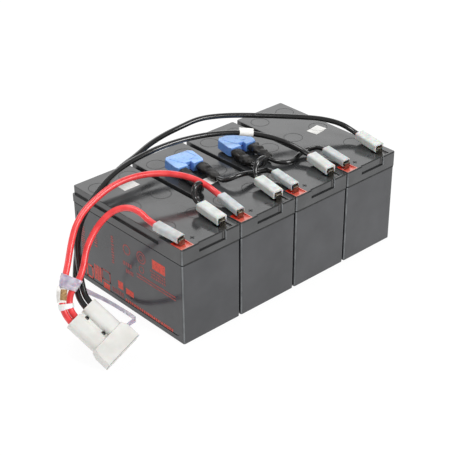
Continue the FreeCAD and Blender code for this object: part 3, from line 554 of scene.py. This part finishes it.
# The eight wires: middle lines in metres. A lead or a jumper's first half starts at its crimp,
# and a jumper's second half starts at the fuse.
wires = {
    "redLead1": {
        "node": "red_lead_1", "diameter": 5.5 * mm, "length": 157 * mm,
        "farEnd": "connector", "stiffness": "medium",
        "route": [
            (-0.1273, -0.0438, 0.1008), (-0.1289, -0.0319, 0.1020), (-0.1295, -0.0210, 0.1070),
            (-0.1345, -0.0105, 0.1095), (-0.1435, -0.0020, 0.1060), (-0.1542, 0.0010, 0.0985),
            (-0.1654, -0.0004, 0.0900), (-0.1752, -0.0040, 0.0810), (-0.1820, -0.0095, 0.0720),
            (-0.1896, -0.0134, 0.0642), (-0.1978, -0.0132, 0.0574), (-0.2038, -0.0154, 0.0492),
            (-0.2064, -0.0217, 0.0404), (-0.2030, -0.0310, 0.0337),
        ],
    },
    "redLead2": {
        "node": "red_lead_2", "diameter": 5.5 * mm, "length": 250 * mm,
        "farEnd": "connector", "stiffness": "medium",
        "route": [
            (-0.0559, -0.0436, 0.1008), (-0.0549, -0.0317, 0.1020), (-0.0575, -0.0195, 0.1070),
            (-0.0660, -0.0085, 0.1125), (-0.0790, 0.0015, 0.1165), (-0.0950, 0.0095, 0.1188),
            (-0.1125, 0.0150, 0.1188), (-0.1300, 0.0176, 0.1160), (-0.1465, 0.0174, 0.1105),
            (-0.1620, 0.0154, 0.1045), (-0.1745, 0.0108, 0.0965), (-0.1845, 0.0042, 0.0860),
            (-0.1938, -0.0030, 0.0735), (-0.2036, -0.0086, 0.0608), (-0.2106, -0.0144, 0.0490),
            (-0.2117, -0.0222, 0.0384), (-0.2083, -0.0315, 0.0317),
        ],
    },
    "blackLead3": {
        "node": "black_lead_3", "diameter": 5.0 * mm, "length": 354 * mm,
        "farEnd": "connector", "stiffness": "medium",
        "route": [
            (0.0555, -0.0437, 0.1008), (0.0567, -0.0318, 0.1020), (0.0545, -0.0180, 0.1050),
            (0.0465, -0.0030, 0.1095), (0.0340, 0.0104, 0.1135), (0.0185, 0.0218, 0.1162),
            (0.0011, 0.0310, 0.1175), (-0.0175, 0.0383, 0.1178), (-0.0368, 0.0436, 0.1172),
            (-0.0565, 0.0470, 0.1156), (-0.0764, 0.0475, 0.1139), (-0.0957, 0.0459, 0.1120),
            (-0.1141, 0.0413, 0.1092), (-0.1314, 0.0350, 0.1048), (-0.1481, 0.0286, 0.0988),
            (-0.1636, 0.0208, 0.0912), (-0.1755, 0.0096, 0.0804), (-0.1824, -0.0024, 0.0682),
            (-0.1873, -0.0120, 0.0565), (-0.1900, -0.0203, 0.0467), (-0.1866, -0.0296, 0.0400),
        ],
    },
    "blackLead4": {
        "node": "black_lead_4", "diameter": 5.0 * mm, "length": 433 * mm,
        "farEnd": "connector", "stiffness": "medium",
        "route": [
            (0.1206, -0.0436, 0.1008), (0.1215, -0.0317, 0.1020), (0.1185, -0.0190, 0.1065),
            (0.1095, -0.0060, 0.1098), (0.0960, 0.0068, 0.1120), (0.0798, 0.0188, 0.1140),
            (0.0618, 0.0302, 0.1166), (0.0430, 0.0409, 0.1194), (0.0247, 0.0506, 0.1214),
            (0.0053, 0.0586, 0.1220), (-0.0146, 0.0618, 0.1187), (-0.0346, 0.0625, 0.1166),
            (-0.0553, 0.0595, 0.1146), (-0.0744, 0.0540, 0.1118), (-0.0935, 0.0508, 0.1094),
            (-0.1114, 0.0455, 0.1051), (-0.1288, 0.0391, 0.1007), (-0.1457, 0.0322, 0.0947),
            (-0.1603, 0.0242, 0.0878), (-0.1715, 0.0132, 0.0775), (-0.1822, 0.0029, 0.0646),
            (-0.1919, -0.0091, 0.0540), (-0.1953, -0.0208, 0.0447), (-0.1919, -0.0301, 0.0380),
        ],
    },
    "jumper1In": {
        "node": "jumper_1_in", "diameter": 4.6 * mm, "length": 71 * mm,
        "farEnd": "fitting", "stiffness": "limp",
        "route": [
            (-0.0786, -0.0435, 0.1008), (-0.0784, -0.0364, 0.1015), (-0.0790, -0.0314, 0.1052),
            (-0.0790, -0.0298, 0.1106), (-0.0754, -0.0286, 0.1148), (-0.0698, -0.0272, 0.1152),
            (-0.0660, -0.0252, 0.1108), (-0.0654, -0.0224, 0.1042), (-0.0610, -0.0176, 0.0986),
            (-0.0524, -0.0118, 0.0981), (-0.0513, -0.0015, 0.0988),
        ],
    },
    "jumper1Out": {
        "node": "jumper_1_out", "diameter": 4.6 * mm, "length": 70 * mm,
        "farEnd": "object", "stiffness": "limp",
        "route": [
            (-0.0314, -0.0036, 0.0988), (-0.0325, -0.0140, 0.0981), (-0.0294, -0.0208, 0.1012),
            (-0.0210, -0.0240, 0.1036), (-0.0125, -0.0245, 0.1026), (-0.0045, -0.0250, 0.1004),
            (0.0032, -0.0276, 0.1004), (0.0088, -0.0334, 0.1019), (0.0088, -0.0435, 0.1008),
        ],
    },
    "jumper2In": {
        "node": "jumper_2_in", "diameter": 4.6 * mm, "length": 65 * mm,
        "farEnd": "fitting", "stiffness": "limp",
        "route": [
            (-0.0109, -0.0436, 0.1008), (-0.0102, -0.0356, 0.1016), (-0.0086, -0.0316, 0.1070),
            (-0.0042, -0.0304, 0.1124), (0.0022, -0.0292, 0.1144), (0.0082, -0.0272, 0.1120),
            (0.0118, -0.0244, 0.1062), (0.0120, -0.0202, 0.1002), (0.0087, -0.0134, 0.0982),
            (0.0097, -0.0049, 0.0988),
        ],
    },
    "jumper2Out": {
        "node": "jumper_2_out", "diameter": 4.6 * mm, "length": 77 * mm,
        "farEnd": "object", "stiffness": "limp",
        "route": [
            (0.0295, -0.0073, 0.0988), (0.0283, -0.0172, 0.0981), (0.0334, -0.0256, 0.0974),
            (0.0420, -0.0286, 0.0970), (0.0510, -0.0256, 0.0970), (0.0600, -0.0226, 0.0978),
            (0.0694, -0.0248, 0.0998), (0.0753, -0.0334, 0.1019), (0.0748, -0.0435, 0.1008),
        ],
    },
}

# Finish and slot of each colour of insulation.
insulation = {
    "red": ("redPvc", "red_insulation"),
    "black": ("blackPvc", "black_insulation"),
}


def makeWire(name, wire):
    finish, slot = insulation["red" if name.startswith("red") else "black"]
    made = addObject(name, routeCurve(name, wire["route"], wire["diameter"]), finishes[finish], slot)
    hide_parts(wire["node"])
    return made


wireObjects = {name: makeWire(name, wire) for name, wire in wires.items()}
print("wires laid:", len(wireObjects))

# The pull strap: its middle line in metres, from the connector to the red leads.
strap = {
    "width": 4.6 * mm,
    "thickness": 0.5 * mm,
    "rounding": 0.6,
    "length": 191 * mm,
    "route": [
        (-0.1728, -0.0526, 0.0291), (-0.1666, -0.0526, 0.0306), (-0.1586, -0.0454, 0.0244),
        (-0.1510, -0.0340, 0.0162), (-0.1450, -0.0200, 0.0096), (-0.1406, -0.0060, 0.0042),
        (-0.1395, 0.0080, 0.0026), (-0.1420, 0.0225, 0.0040), (-0.1500, 0.0320, 0.0098),
        (-0.1615, 0.0334, 0.0202), (-0.1736, 0.0264, 0.0320), (-0.1840, 0.0155, 0.0430),
        (-0.1928, 0.0045, 0.0534), (-0.1992, -0.0040, 0.0620),
    ],
}


def makeStrap():
    line = readRoute(strap["route"])
    half, thin = strap["width"] / 2, strap["thickness"] / 2
    corner = thin * strap["rounding"]
    section = [(thin, half - corner), (thin - corner, half), (corner - thin, half),
               (-thin, half - corner), (-thin, corner - half), (corner - thin, -half),
               (thin - corner, -half), (thin, corner - half)]
    mesh = bmesh.new()
    sweepSection(mesh, line, section)
    made = meshObject("pullStrap", mesh, finishes["vinyl"], "strap_film", smooth=False)
    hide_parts("pull_strap")


makeStrap()
print("strap laid")

# Moulded ribs on each fuse's cap, along and across it.
ribs = {
    "size": (30.5 * mm, 22.5 * mm, 8.8 * mm),
    "height": 0.4 * mm,
    "width": 0.7 * mm,
    "crown": 0.6,
    "sink": 0.2 * mm,
    # share of the rib's length, and share of its height there
    "rise": ((0, 0.1), (0.06, 1), (0.94, 1), (1, 0.1)),
    # both ends of each rib, as shares of the cap's width and depth
    "lines": (((-0.40, 0.30), (-0.12, -0.36)), ((0.30, 0.40), (0.40, -0.08)),
              ((0.10, -0.16), (0.26, -0.16))),
}


def makeRibs(fuse):
    low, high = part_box("fuse_body_%d" % fuse)
    turn = (Matrix.Rotation(math.radians(boots["turn"][fuse]), 4, "Z")
            @ Matrix.Rotation(math.radians(boots["tilt"]), 4, "X"))
    placed = Matrix.Translation((low + high) / 2) @ turn
    mesh = bmesh.new()
    width, depth, thickness = ribs["size"]
    sink = Vector((0, 0, -ribs["sink"]))
    for line in ribs["lines"]:
        start, end = (Vector((x * width, y * depth, thickness / 2)) for x, y in line)
        along = (end - start).normalized()
        side = Vector((-along.y, along.x, 0)) * ribs["width"] / 2
        rings = []
        for share, rise in ribs["rise"]:
            middle = start.lerp(end, share)
            lift = Vector((0, 0, ribs["height"] * rise))
            corners = (middle - side + sink, middle - side * ribs["crown"] + lift,
                       middle + side * ribs["crown"] + lift, middle + side + sink)
            rings.append([mesh.verts.new(placed @ corner) for corner in corners])
        bridgeRings(mesh, rings)
    meshObject("fuseRibs%d" % fuse, mesh, finishes["fuse"], "fuse_plastic", smooth=False)


for fuse in fuses:
    makeRibs(fuse)
print("fuse caps ribbed")

# Paper markers wrapped round two leads, each where its run of the route lies.
markers = {
    "places": (("redLead2", (-0.2071, -0.0115, 0.0549)),
               ("blackLead3", (0.0262, 0.0161, 0.1149))),
    "length": 13 * mm,
    "wall": 0.35 * mm,
    "around": 28,
    "flap": 2.2 * mm,
    "flapPoints": (3, 4),  # the points of the round that are pulled out into the flap
}


def makeMarkers():
    mesh = bmesh.new()
    for name, place in markers["places"]:
        line = readRoute(wires[name]["route"])
        middle = distanceNear(line, place)
        stretch = stretchOf(line, middle - markers["length"] / 2, middle + markers["length"] / 2)
        radius = wires[name]["diameter"] / 2 + markers["wall"]
        section = [(radius * x, radius * y) for x, y in circle(markers["around"])]
        grow = 1 + markers["flap"] / radius
        for index in markers["flapPoints"]:
            x, y = section[index]
            section[index] = (x * grow, y * grow)
        sweepSection(mesh, stretch, section)
    made = meshObject("leadMarkers", mesh, finishes["paper"], "label_paper", smooth=False)
    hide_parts("lead_labels")
    return made


leadMarkers = makeMarkers()
print("markers wrapped")

# What holds the red leads together: the strap's end wound round both, and a white band below.
windings = {
    "pieces": {
        "strapEnd": {"place": (-0.1985, -0.0080, 0.0620), "length": 11 * mm, "wall": 1.0 * mm,
                     "finish": "vinyl", "slot": "strap_film", "lumps": 0.7 * mm},
        "tieBand": {"place": (-0.2065, -0.0165, 0.0455), "length": 4.6 * mm, "wall": 0.8 * mm,
                    "finish": "band", "slot": "strap_film", "lumps": 0.1 * mm},
    },
    "steps": 12,
    "around": 40,
    # how fast the lumps change round the winding, along it and with its width
    "lumpPattern": (1.5, 0.4, 90),
}


def makeWinding(name):
    plan = windings["pieces"][name]
    steps, around = windings["steps"], windings["around"]
    roundRate, alongRate, widthRate = windings["lumpPattern"]
    lines = []
    for lead in ("redLead1", "redLead2"):
        line = readRoute(wires[lead]["route"])
        start = distanceNear(line, plan["place"]) - plan["length"] / 2
        # a hundredth of a step keeps the first stretch from being empty
        lines.append([stretchOf(line, start, start + plan["length"] * (step + 0.01) / steps)[-1]
                      for step in range(steps + 1)])
    radius = wires["redLead1"]["diameter"] / 2 + plan["wall"]
    mesh = bmesh.new()
    rings = []
    for step in range(steps + 1):
        first, second = (line[step] for line in lines)
        before, after = max(step - 1, 0), min(step + 1, steps)
        along = ((lines[0][after] - lines[0][before])
                 + (lines[1][after] - lines[1][before])).normalized()
        across = second - first
        across = across - along * across.dot(along)
        half = across.length / 2
        across.normalize()
        rise = along.cross(across)
        middle = (first + second) / 2
        ring = []
        for index in range(around):
            turn = 2 * math.pi * (index + 0.5) / around
            pattern = Vector((turn * roundRate, step * alongRate, half * widthRate))
            reach = radius + noise.noise(pattern) * plan["lumps"]
            side = half if math.cos(turn) > 0 else -half
            ring.append(mesh.verts.new(middle + across * (math.cos(turn) * reach + side)
                                       + rise * math.sin(turn) * reach))
        rings.append(ring)
    bridgeRings(mesh, rings)
    return meshObject(name, mesh, finishes[plan["finish"]], plan["slot"])


windingPieces = [makeWinding(name) for name in windings["pieces"]]

# The small kraft tag, which hangs in front of the paper marker on the red lead.
tag = {
    "corner": (-0.2101, -0.0150, 0.0633),
    "across": (0.7385, -0.6742, 0.0),
    "down": (-0.42, -0.34, -0.84),
    "width": 5.4 * mm,
    "height": 9.0 * mm,
    "thickness": 0.5 * mm,
    "curl": 0.8 * mm,
    "rows": 8,
}


def makeTag():
    mesh = bmesh.new()
    corner = Vector(tag["corner"])
    down = Vector(tag["down"]).normalized()
    across = Vector(tag["across"])
    across = (across - down * across.dot(down)).normalized()
    out = down.cross(across)
    rows = tag["rows"]
    front, back = [], []
    for row in range(rows + 1):
        share = row / rows
        bow = out * tag["curl"] * math.sin(math.pi * share)
        for side in (0, 1):
            place = corner + across * tag["width"] * side + down * tag["height"] * share + bow
            front.append(mesh.verts.new(place))
            back.append(mesh.verts.new(place + out * tag["thickness"]))
    for i in range(0, 2 * rows, 2):
        mesh.faces.new((front[i], front[i + 1], front[i + 3], front[i + 2]))
        mesh.faces.new((back[i + 2], back[i + 3], back[i + 1], back[i]))
    outline = list(range(0, 2 * rows + 1, 2)) + list(range(2 * rows + 1, 0, -2))
    for first, second in zip(outline, outline[1:] + outline[:1]):
        mesh.faces.new((front[first], back[first], back[second], front[second]))
    return meshObject("kraftTag", mesh, finishes["card"], "label_paper")


kraftTag = makeTag()
print("red leads tied")

print("wires declared:", len(wires))

# The connector's own frame: across the poles, back to the wires, and up. Dark eyelets line its two
# fixing holes as painted shade, and a thin dark line of painted shade marks the rim of the mouth.
fittings = {
    "origin": (-0.1858, -0.0624, 0.0128),
    "across": (0.9300, 0.0810, 0.3580),
    "back": (-0.2840, 0.7770, 0.5620),
    "up": (-0.23266, -0.62447, 0.74559),
    "holes": ((-0.19755, -0.03032, 0.0360), (-0.19231, -0.04461, 0.02567)),
    "depth": 8.74 * mm,
    "depthShare": 0.9,
    "outer": 1.88 * mm,
    "inner": 1.5 * mm,
    "innerRound": 0.3 * mm,
    "flange": 2.5 * mm,
    "flangeRound": 0.2 * mm,
    "flangeFoot": 0.02 * mm,
    "flangeHeight": 0.35 * mm,
    "around": 28,
    "rimWidth": 36.5 * mm,
    "rimHeight": 16 * mm,
    "rimCorner": 1.6 * mm,
    "cornerSteps": 4,
    "rimBack": 0.5 * mm,
    "rimShadeLine": 0.28 * mm,
    "rimProud": 0.1 * mm,
}
connectorAxes = [Vector(fittings[key]).normalized() for key in ("across", "back", "up")]


def makeShadeEyelets():
    across, back, up = connectorAxes
    outer, inner, flange = fittings["outer"], fittings["inner"], fittings["flange"]
    foot, high = fittings["flangeFoot"], fittings["flangeHeight"]
    low = -fittings["depth"] * fittings["depthShare"]
    profile = ((outer, low), (outer, foot), (flange, foot), (flange - fittings["flangeRound"], high),
               (inner + fittings["innerRound"], high), (inner, high - fittings["innerRound"]),
               (inner, low))
    mesh = bmesh.new()
    for hole in fittings["holes"]:
        rings = []
        for x, y in circle(fittings["around"]):
            out = across * x + back * y
            rings.append([mesh.verts.new(Vector(hole) + out * radius + up * height)
                          for radius, height in profile])
        bridgeRings(mesh, rings, closed=True)
    meshObject("shadeEyelets", mesh, finishes["paintedShade"], "contact_metal")


makeShadeEyelets()


# A thin dark frame of painted shade round the front of the mouth.
def makeRimShadeLine():
    across, back, up = connectorAxes
    start = Vector(fittings["origin"]) + back * fittings["rimBack"]
    corner, proud, line = fittings["rimCorner"], fittings["rimProud"], fittings["rimShadeLine"]
    steps = fittings["cornerSteps"]
    mesh = bmesh.new()
    rings = []
    for depth, grow in ((0, -proud), (0, proud), (line, proud), (line, -proud)):
        wide = fittings["rimWidth"] / 2 + grow - corner
        tall = fittings["rimHeight"] / 2 + grow - corner
        ring = []
        for x, z, first in ((1, 1, 0), (-1, 1, 90), (-1, -1, 180), (1, -1, 270)):
            for step in range(steps + 1):
                turn = math.radians(first + 90 * step / steps)
                ring.append(mesh.verts.new(start + back * depth
                                           + across * (x * wide + corner * math.cos(turn))
                                           + up * (z * tall + corner * math.sin(turn))))
        rings.append(ring)
    bridgeRings(mesh, rings, closed=True)
    meshObject("rimShadeLine", mesh, finishes["paintedShade"], "connector_plastic", smooth=False)


makeRimShadeLine()
print("connector fitted out")

# Epoxy poured into each terminal well round its tab.
potting = {
    "wall": 0.9 * mm,
    "level": 1.3 * mm,
    "meniscus": 0.9 * mm,
    "reach": 1.1 * mm,
    "thickness": 3.6 * mm,
    "lumps": 0.3 * mm,
    "lumpSize": 3 * mm,
    "grid": 22,
}


def makePotting(pole, block):
    low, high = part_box("%s_seal_%d" % (pole, block))
    left, right = low.x + potting["wall"], high.x - potting["wall"]
    front, rear = low.y + potting["wall"], high.y - potting["wall"]
    mesh = bmesh.new()
    count = potting["grid"]
    grid = []
    for row in range(count + 1):
        line = []
        for column in range(count + 1):
            x = left + (right - left) * column / count
            y = front + (rear - front) * row / count
            edge = min(x - left, right - x, y - front, rear - y)
            # each well reads its own layer of the noise
            lumps = noise.noise(Vector((x, y, 0.02 * block)) / potting["lumpSize"]) * potting["lumps"]
            rise = potting["meniscus"] * math.exp(-edge / potting["reach"])
            line.append(mesh.verts.new((x, y, high.z - potting["level"] + rise + lumps)))
        grid.append(line)
    top = [mesh.faces.new((near[column], near[column + 1], far[column + 1], far[column]))
           for near, far in zip(grid, grid[1:]) for column in range(count)]
    floor = high.z - potting["level"] - potting["thickness"]
    for item in bmesh.ops.extrude_face_region(mesh, geom=top)["geom"]:
        if isinstance(item, bmesh.types.BMVert):
            item.co.z = floor
    finish, slot = ("redEpoxy", "seal_red") if pole == "positive" else ("blackEpoxy", "seal_black")
    meshObject("%sPotting%d" % (pole, block), mesh, finishes[finish], slot)


for block in blocks:
    for pole in poles:
        makePotting(pole, block)
print("wells potted")

# Red print on the first block's long side. Its plain shapes are in mm: left, right, bottom and
# top of each, or a ring's y, z, radius and stroke. So are the sizes of the bars.
printing = {
    "film": 0.06 * mm,
    "panelDepth": 0.5 * mm,
    "frameStroke": 1.6,
    "shortest": 1,  # no bar starts in the last stretch of this length
    "barWidths": (1.2, 2.6),
    "barGaps": (0.5, 1.1),
    "unevenFoot": (0, 0.3),
    "barHeights": (0.8, 1.8),
    "lineGaps": (0.7, 1.6),
    "unevenLeft": (0, 1.5),
    "bright": {
        "fields": ((-52, -35, 58, 67.5), (28, 37, 3, 11), (8, 15, 15, 23), (-7, 4, 14, 20)),
        "rows": ((-60, 6, 5.4, 8.4), (40, 50, 8, 24)),
        "columns": (),
        "rings": (),
        "frames": ((52, 62, 6, 20),),
    },
    "dim": {
        "fields": ((-65, -13, 42.4, 43.8), (-65, -13, 39.6, 40.8), (44, 68, 3, 4.4)),
        "rows": ((-52, -32, 54, 56), (-52, -32, 51, 53), (-52, -32, 48, 50), (8, 24, 7, 12),
                 (-6, 6, 44, 48), (-8, 3, 37, 41)),
        "columns": ((61, 67, 28, 70), (42, 47, 44, 66), (18, 22, 38, 66)),
        "rings": ((-20, 62, 6.2, 1.2), (-20, 62, 3.4, 0.9), (0, 61, 5.2, 1.3), (-20, 50, 3.6, 0.9)),
        "frames": ((66, 70, 6, 24), (26, 39, 13, 25)),
    },
    "seed": 7,
}


def addSlab(mesh, low, high):
    made = bmesh.ops.create_cube(mesh, size=1.0)["verts"]
    middle = (Vector(low) + Vector(high)) / 2
    extent = Vector(high) - Vector(low)
    for vertex in made:
        vertex.co = Vector([middle[axis] + vertex.co[axis] * extent[axis] for axis in range(3)])


def addPatch(mesh, wall, left, right, bottom, top):
    addSlab(mesh, (wall - printing["film"], left * mm, bottom * mm),
            (wall + printing["film"], right * mm, top * mm))


def addFlatRing(mesh, wall, y, z, radius, stroke, count=32):
    film, inner = printing["film"], radius - stroke
    profile = ((-film, radius), (-film, inner), (film, inner), (film, radius))
    rings = []
    for side, up in circle(count):
        rings.append([mesh.verts.new((wall + depth, (y + reach * side) * mm, (z + reach * up) * mm))
                      for depth, reach in profile])
    bridgeRings(mesh, rings, closed=True)


# Rows and columns of small bars stand where lines of small type would be; none is a letter.
def makePrint(shade):
    plan = printing[shade]
    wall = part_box("container_1")[0].x + printing["panelDepth"]
    draw = random.Random(printing["seed"])
    mesh = bmesh.new()
    for field in plan["fields"]:
        addPatch(mesh, wall, *field)
    for left, right, bottom, top in plan["rows"]:
        place = left
        while place < right - printing["shortest"]:
            width = draw.uniform(*printing["barWidths"])
            foot = bottom + draw.uniform(*printing["unevenFoot"])
            addPatch(mesh, wall, place, min(place + width, right), foot, top)
            place += width + draw.uniform(*printing["barGaps"])
    for left, right, bottom, top in plan["columns"]:
        place = bottom
        while place < top - printing["shortest"]:
            height = draw.uniform(*printing["barHeights"])
            start = left + draw.uniform(*printing["unevenLeft"])
            addPatch(mesh, wall, start, right, place, min(place + height, top))
            place += height + draw.uniform(*printing["lineGaps"])
    for ring in plan["rings"]:
        addFlatRing(mesh, wall, *ring)
    stroke = printing["frameStroke"]
    for left, right, bottom, top in plan["frames"]:
        for bar in ((left, right, bottom, bottom + stroke), (left, right, top - stroke, top),
                    (left, left + stroke, bottom, top), (right - stroke, right, bottom, top)):
            addPatch(mesh, wall, *bar)
    meshObject("%sPrint" % shade, mesh, finishes["%sInk" % shade], "seal_red", smooth=False)


for shade in ("bright", "dim"):
    makePrint(shade)
print("side printed")

# Raised plus and minus marks beside the wells, out from each well's middle and back from it.
polarity = {
    "size": 4.2 * mm,
    "stroke": 1.0 * mm,
    "height": 0.25 * mm,
    "sink": 0.05 * mm,
    "out": 13 * mm,
    "back": 2.3 * mm,
}


def makePolarityMarks():
    mesh = bmesh.new()
    half, stroke = polarity["size"] / 2, polarity["stroke"] / 2
    for block in blocks:
        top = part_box("lid_%d" % block)[1].z
        for pole in poles:
            low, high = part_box("%s_seal_%d" % (pole, block))
            side = 1 if pole == "positive" else -1
            x = (low.x + high.x) / 2 + side * polarity["out"]
            y = (low.y + high.y) / 2 + polarity["back"]
            bars = [(half, stroke)] + ([(stroke, half)] if pole == "positive" else [])
            for wide, deep in bars:
                addSlab(mesh, (x - wide, y - deep, top - polarity["sink"]),
                        (x + wide, y + deep, top + polarity["height"]))
    meshObject("polarityMarks", mesh, finishes["darkInk"], "case_plastic", smooth=False)


makePolarityMarks()

# The weld line round each vent plug: a low bead with a dark edge.
vents = {
    "diameter": 17.9 * mm,
    "pitchX": 34 * mm,
    "pitchY": 46 * mm,
    "shiftY": 10 * mm,
    "bead": 0.32 * mm,
    "sink": 0.14 * mm,
    "around": 48,
    "section": 8,
}


def addSeam(mesh, centre):
    radius, bead = vents["diameter"] / 2, vents["bead"]
    rings = []
    for x, y in circle(vents["around"]):
        rings.append([mesh.verts.new(centre + Vector((x, y, 0)) * (radius + bead * out)
                                     + Vector((0, 0, bead * up)))
                      for out, up in circle(vents["section"])])
    bridgeRings(mesh, rings, closed=True)


def makeVentSeams():
    mesh = bmesh.new()
    for block in blocks:
        low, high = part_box("lid_%d" % block)
        middle = (low + high) / 2
        for column in (-1, 1):
            for row in (-1, 0, 1):
                addSeam(mesh, Vector((middle.x + column * vents["pitchX"] / 2,
                                      middle.y + vents["shiftY"] + row * vents["pitchY"],
                                      high.z - vents["sink"])))
    meshObject("ventSeams", mesh, finishes["darkInk"], "case_plastic")


makeVentSeams()

# Along the front of each block: the dark weld line, a dark line of painted shade under the lid's top
# edge, and a painted highlight on the corner and on the end of the grip recess.
frontTrim = {
    "proud": 0.06 * mm,
    "sunk": 0.4 * mm,
    "lap": 0.1 * mm,
    "overTop": 0.02 * mm,
    "weldLine": 1.4 * mm,
    "topShadeLine": 1.1 * mm,
    "gripLeft": 13.6 * mm,
    "gripRight": 15.9 * mm,
    "gripHeight": 8.6 * mm,
    "gripDepth": 1.5 * mm,
    "gripEdge": 0.5 * mm,
    "gripLap": 0.12 * mm,
    "corner": 1.8 * mm,
    "cornerTurns": (205, 216, 227, 238, 249),  # degrees round the corner's axis
    "lowestEdge": 1.1 * mm,
}


def makeWeldAndShadeLines():
    mesh = bmesh.new()
    proud, sunk = frontTrim["proud"], frontTrim["sunk"]
    for block in blocks:
        low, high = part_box("lid_%d" % block)
        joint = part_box("container_%d" % block)[1].z
        left, right = low.x + frontTrim["corner"], high.x - frontTrim["corner"]
        gripLeft = (low.x + high.x) / 2 - frontTrim["gripLeft"]
        gripRight = (low.x + high.x) / 2 + frontTrim["gripRight"]
        addSlab(mesh, (left, low.y - proud, joint - frontTrim["lap"]),
                (right, low.y + sunk, joint + frontTrim["weldLine"]))
        # under the lid's top edge, stepping back into the grip recess: a line of painted shade
        for start, end, depth in ((left, gripLeft, 0),
                                  (gripLeft, gripRight, frontTrim["gripDepth"]),
                                  (gripRight + frontTrim["gripEdge"], right, 0)):
            addSlab(mesh, (start, low.y + depth - proud, high.z - frontTrim["topShadeLine"]),
                    (end, low.y + depth + sunk, high.z + frontTrim["overTop"]))
    meshObject("weldAndShadeLines", mesh, finishes["weldAndShade"], "case_plastic", smooth=False)


def makePaintedHighlightEdges():
    proud, corner, lap = frontTrim["proud"], frontTrim["corner"], frontTrim["lap"]
    turns = [math.radians(turn) for turn in frontTrim["cornerTurns"]]
    section = ([(corner + proud, turn) for turn in turns]
               + [(corner - frontTrim["sunk"], turn) for turn in reversed(turns)])
    mesh = bmesh.new()
    for block in blocks:
        low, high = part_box("lid_%d" % block)
        foot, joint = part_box("container_%d" % block)
        gripRight = (low.x + high.x) / 2 + frontTrim["gripRight"]
        # painted highlight on the end wall of the grip recess, where light falls on it
        addSlab(mesh, (gripRight - frontTrim["gripLap"], low.y - proud,
                       high.z - frontTrim["gripHeight"]),
                (gripRight + frontTrim["gripEdge"], low.y + frontTrim["gripDepth"], high.z - lap))
        # painted highlight down the front left corner of the container and of the lid
        for x, y, bottom, top in (
                (foot.x, foot.y, foot.z + frontTrim["lowestEdge"], joint.z - lap),
                (low.x, low.y, joint.z + frontTrim["weldLine"], high.z - frontTrim["topShadeLine"])):
            bridgeRings(mesh, [[mesh.verts.new((x + corner + reach * math.cos(turn),
                                                y + corner + reach * math.sin(turn), height))
                                for reach, turn in section] for height in (bottom, top)])
    meshObject("paintedHighlightEdges", mesh, finishes["paintedHighlight"], "case_plastic", smooth=False)


makeWeldAndShadeLines()
makePaintedHighlightEdges()
print("marks and seams made")

# The lighting: a white floor under a white world, with four disc lamps.
studio = {
    "floorSize": 6.0,
    "floorRoughness": 0.9,
    "floorColour": "#f4f4f4",
    "floorGlow": 0.86,
    "glowStrength": 1.06,
    "worldColour": "#ffffff",
    "fill": 0.56,
    "mirrored": 0.38,
    "lamps": (
        # name, place, aim, width, power
        ("keyLamp", (0.35, -1.7, 1.15), (0.0, -0.05, 0.05), 0.8, 19),
        ("topLamp", (-0.25, 0.15, 1.7), (0.0, 0.0, 0.09), 0.7, 8),
        ("farPanel", (1.35, 1.5, 1.15), (0.0, 0.0, 0.09), 1.9, 11),
        ("sideLamp", (-1.4, 1.15, 0.6), (-0.1, 0.0, 0.05), 0.6, 3.0),
    ),
}


# One for a ray of any of these kinds, and nothing for other rays.
def rayIs(tree, *kinds):
    rays = addNode(tree, "ShaderNodeLightPath").outputs
    share = rays[kinds[0]]
    for kind in kinds[1:]:
        either = addNode(tree, "ShaderNodeMath", {0: share, 1: rays[kind]}, operation="MAXIMUM")
        share = either.outputs[0]
    return share


# A white floor that still takes the shadow: lit in part, and otherwise plain white to the eye.
def makeFloor():
    mesh = bmesh.new()
    bmesh.ops.create_grid(mesh, x_segments=1, y_segments=1, size=studio["floorSize"])
    data = bpy.data.meshes.new("floor")
    mesh.to_mesh(data)
    mesh.free()
    material, tree, shader = startMaterial("paintedFloor", studio["floorColour"],
                                           studio["floorRoughness"], Specular_IOR_Level=0.0)[:3]
    seen = rayIs(tree, "Is Camera Ray", "Is Glossy Ray", "Is Transmission Ray")
    share = addNode(tree, "ShaderNodeMath", {0: seen, 1: studio["floorGlow"]},
                    operation="MULTIPLY")
    glow = addNode(tree, "ShaderNodeEmission", {"Color": (1, 1, 1, 1),
                                                "Strength": studio["glowStrength"]})
    mix = addNode(tree, "ShaderNodeMixShader", {0: share.outputs[0], 1: shader.outputs["BSDF"],
                                                2: glow.outputs["Emission"]})
    tree.links.new(mix.outputs["Shader"], tree.nodes["Material Output"].inputs["Surface"])
    addObject("floor", data, material)


makeFloor()


# The world is plain white to the camera, and dimmer as fill light and in mirrors.
def makeWorld():
    world = bpy.data.worlds.new("studioWorld")
    world.use_nodes = True
    tree = world.node_tree
    background = tree.nodes["Background"]
    background.inputs["Color"].default_value = linearColour(studio["worldColour"])
    indirect = addNode(tree, "ShaderNodeMapRange", {"Value": rayIs(tree, "Is Glossy Ray"),
                                                    "To Min": studio["fill"],
                                                    "To Max": studio["mirrored"]})
    seen = rayIs(tree, "Is Camera Ray", "Is Transmission Ray")
    strength = addNode(tree, "ShaderNodeMapRange", {"Value": seen,
                                                    "To Min": indirect.outputs["Result"],
                                                    "To Max": 1.0})
    tree.links.new(strength.outputs["Result"], background.inputs["Strength"])
    bpy.context.scene.world = world


makeWorld()
for name, place, aim, width, power in studio["lamps"]:
    lamp = bpy.data.lights.new(name, "AREA")
    lamp.shape = "DISK"
    lamp.size = width
    lamp.energy = power
    stand = addObject(name, lamp)
    stand.location = place
    stand.rotation_euler = (Vector(aim) - Vector(place)).to_track_quat("-Z", "Y").to_euler()
bpy.context.scene.view_settings.view_transform = "Standard"
print("studio lit")
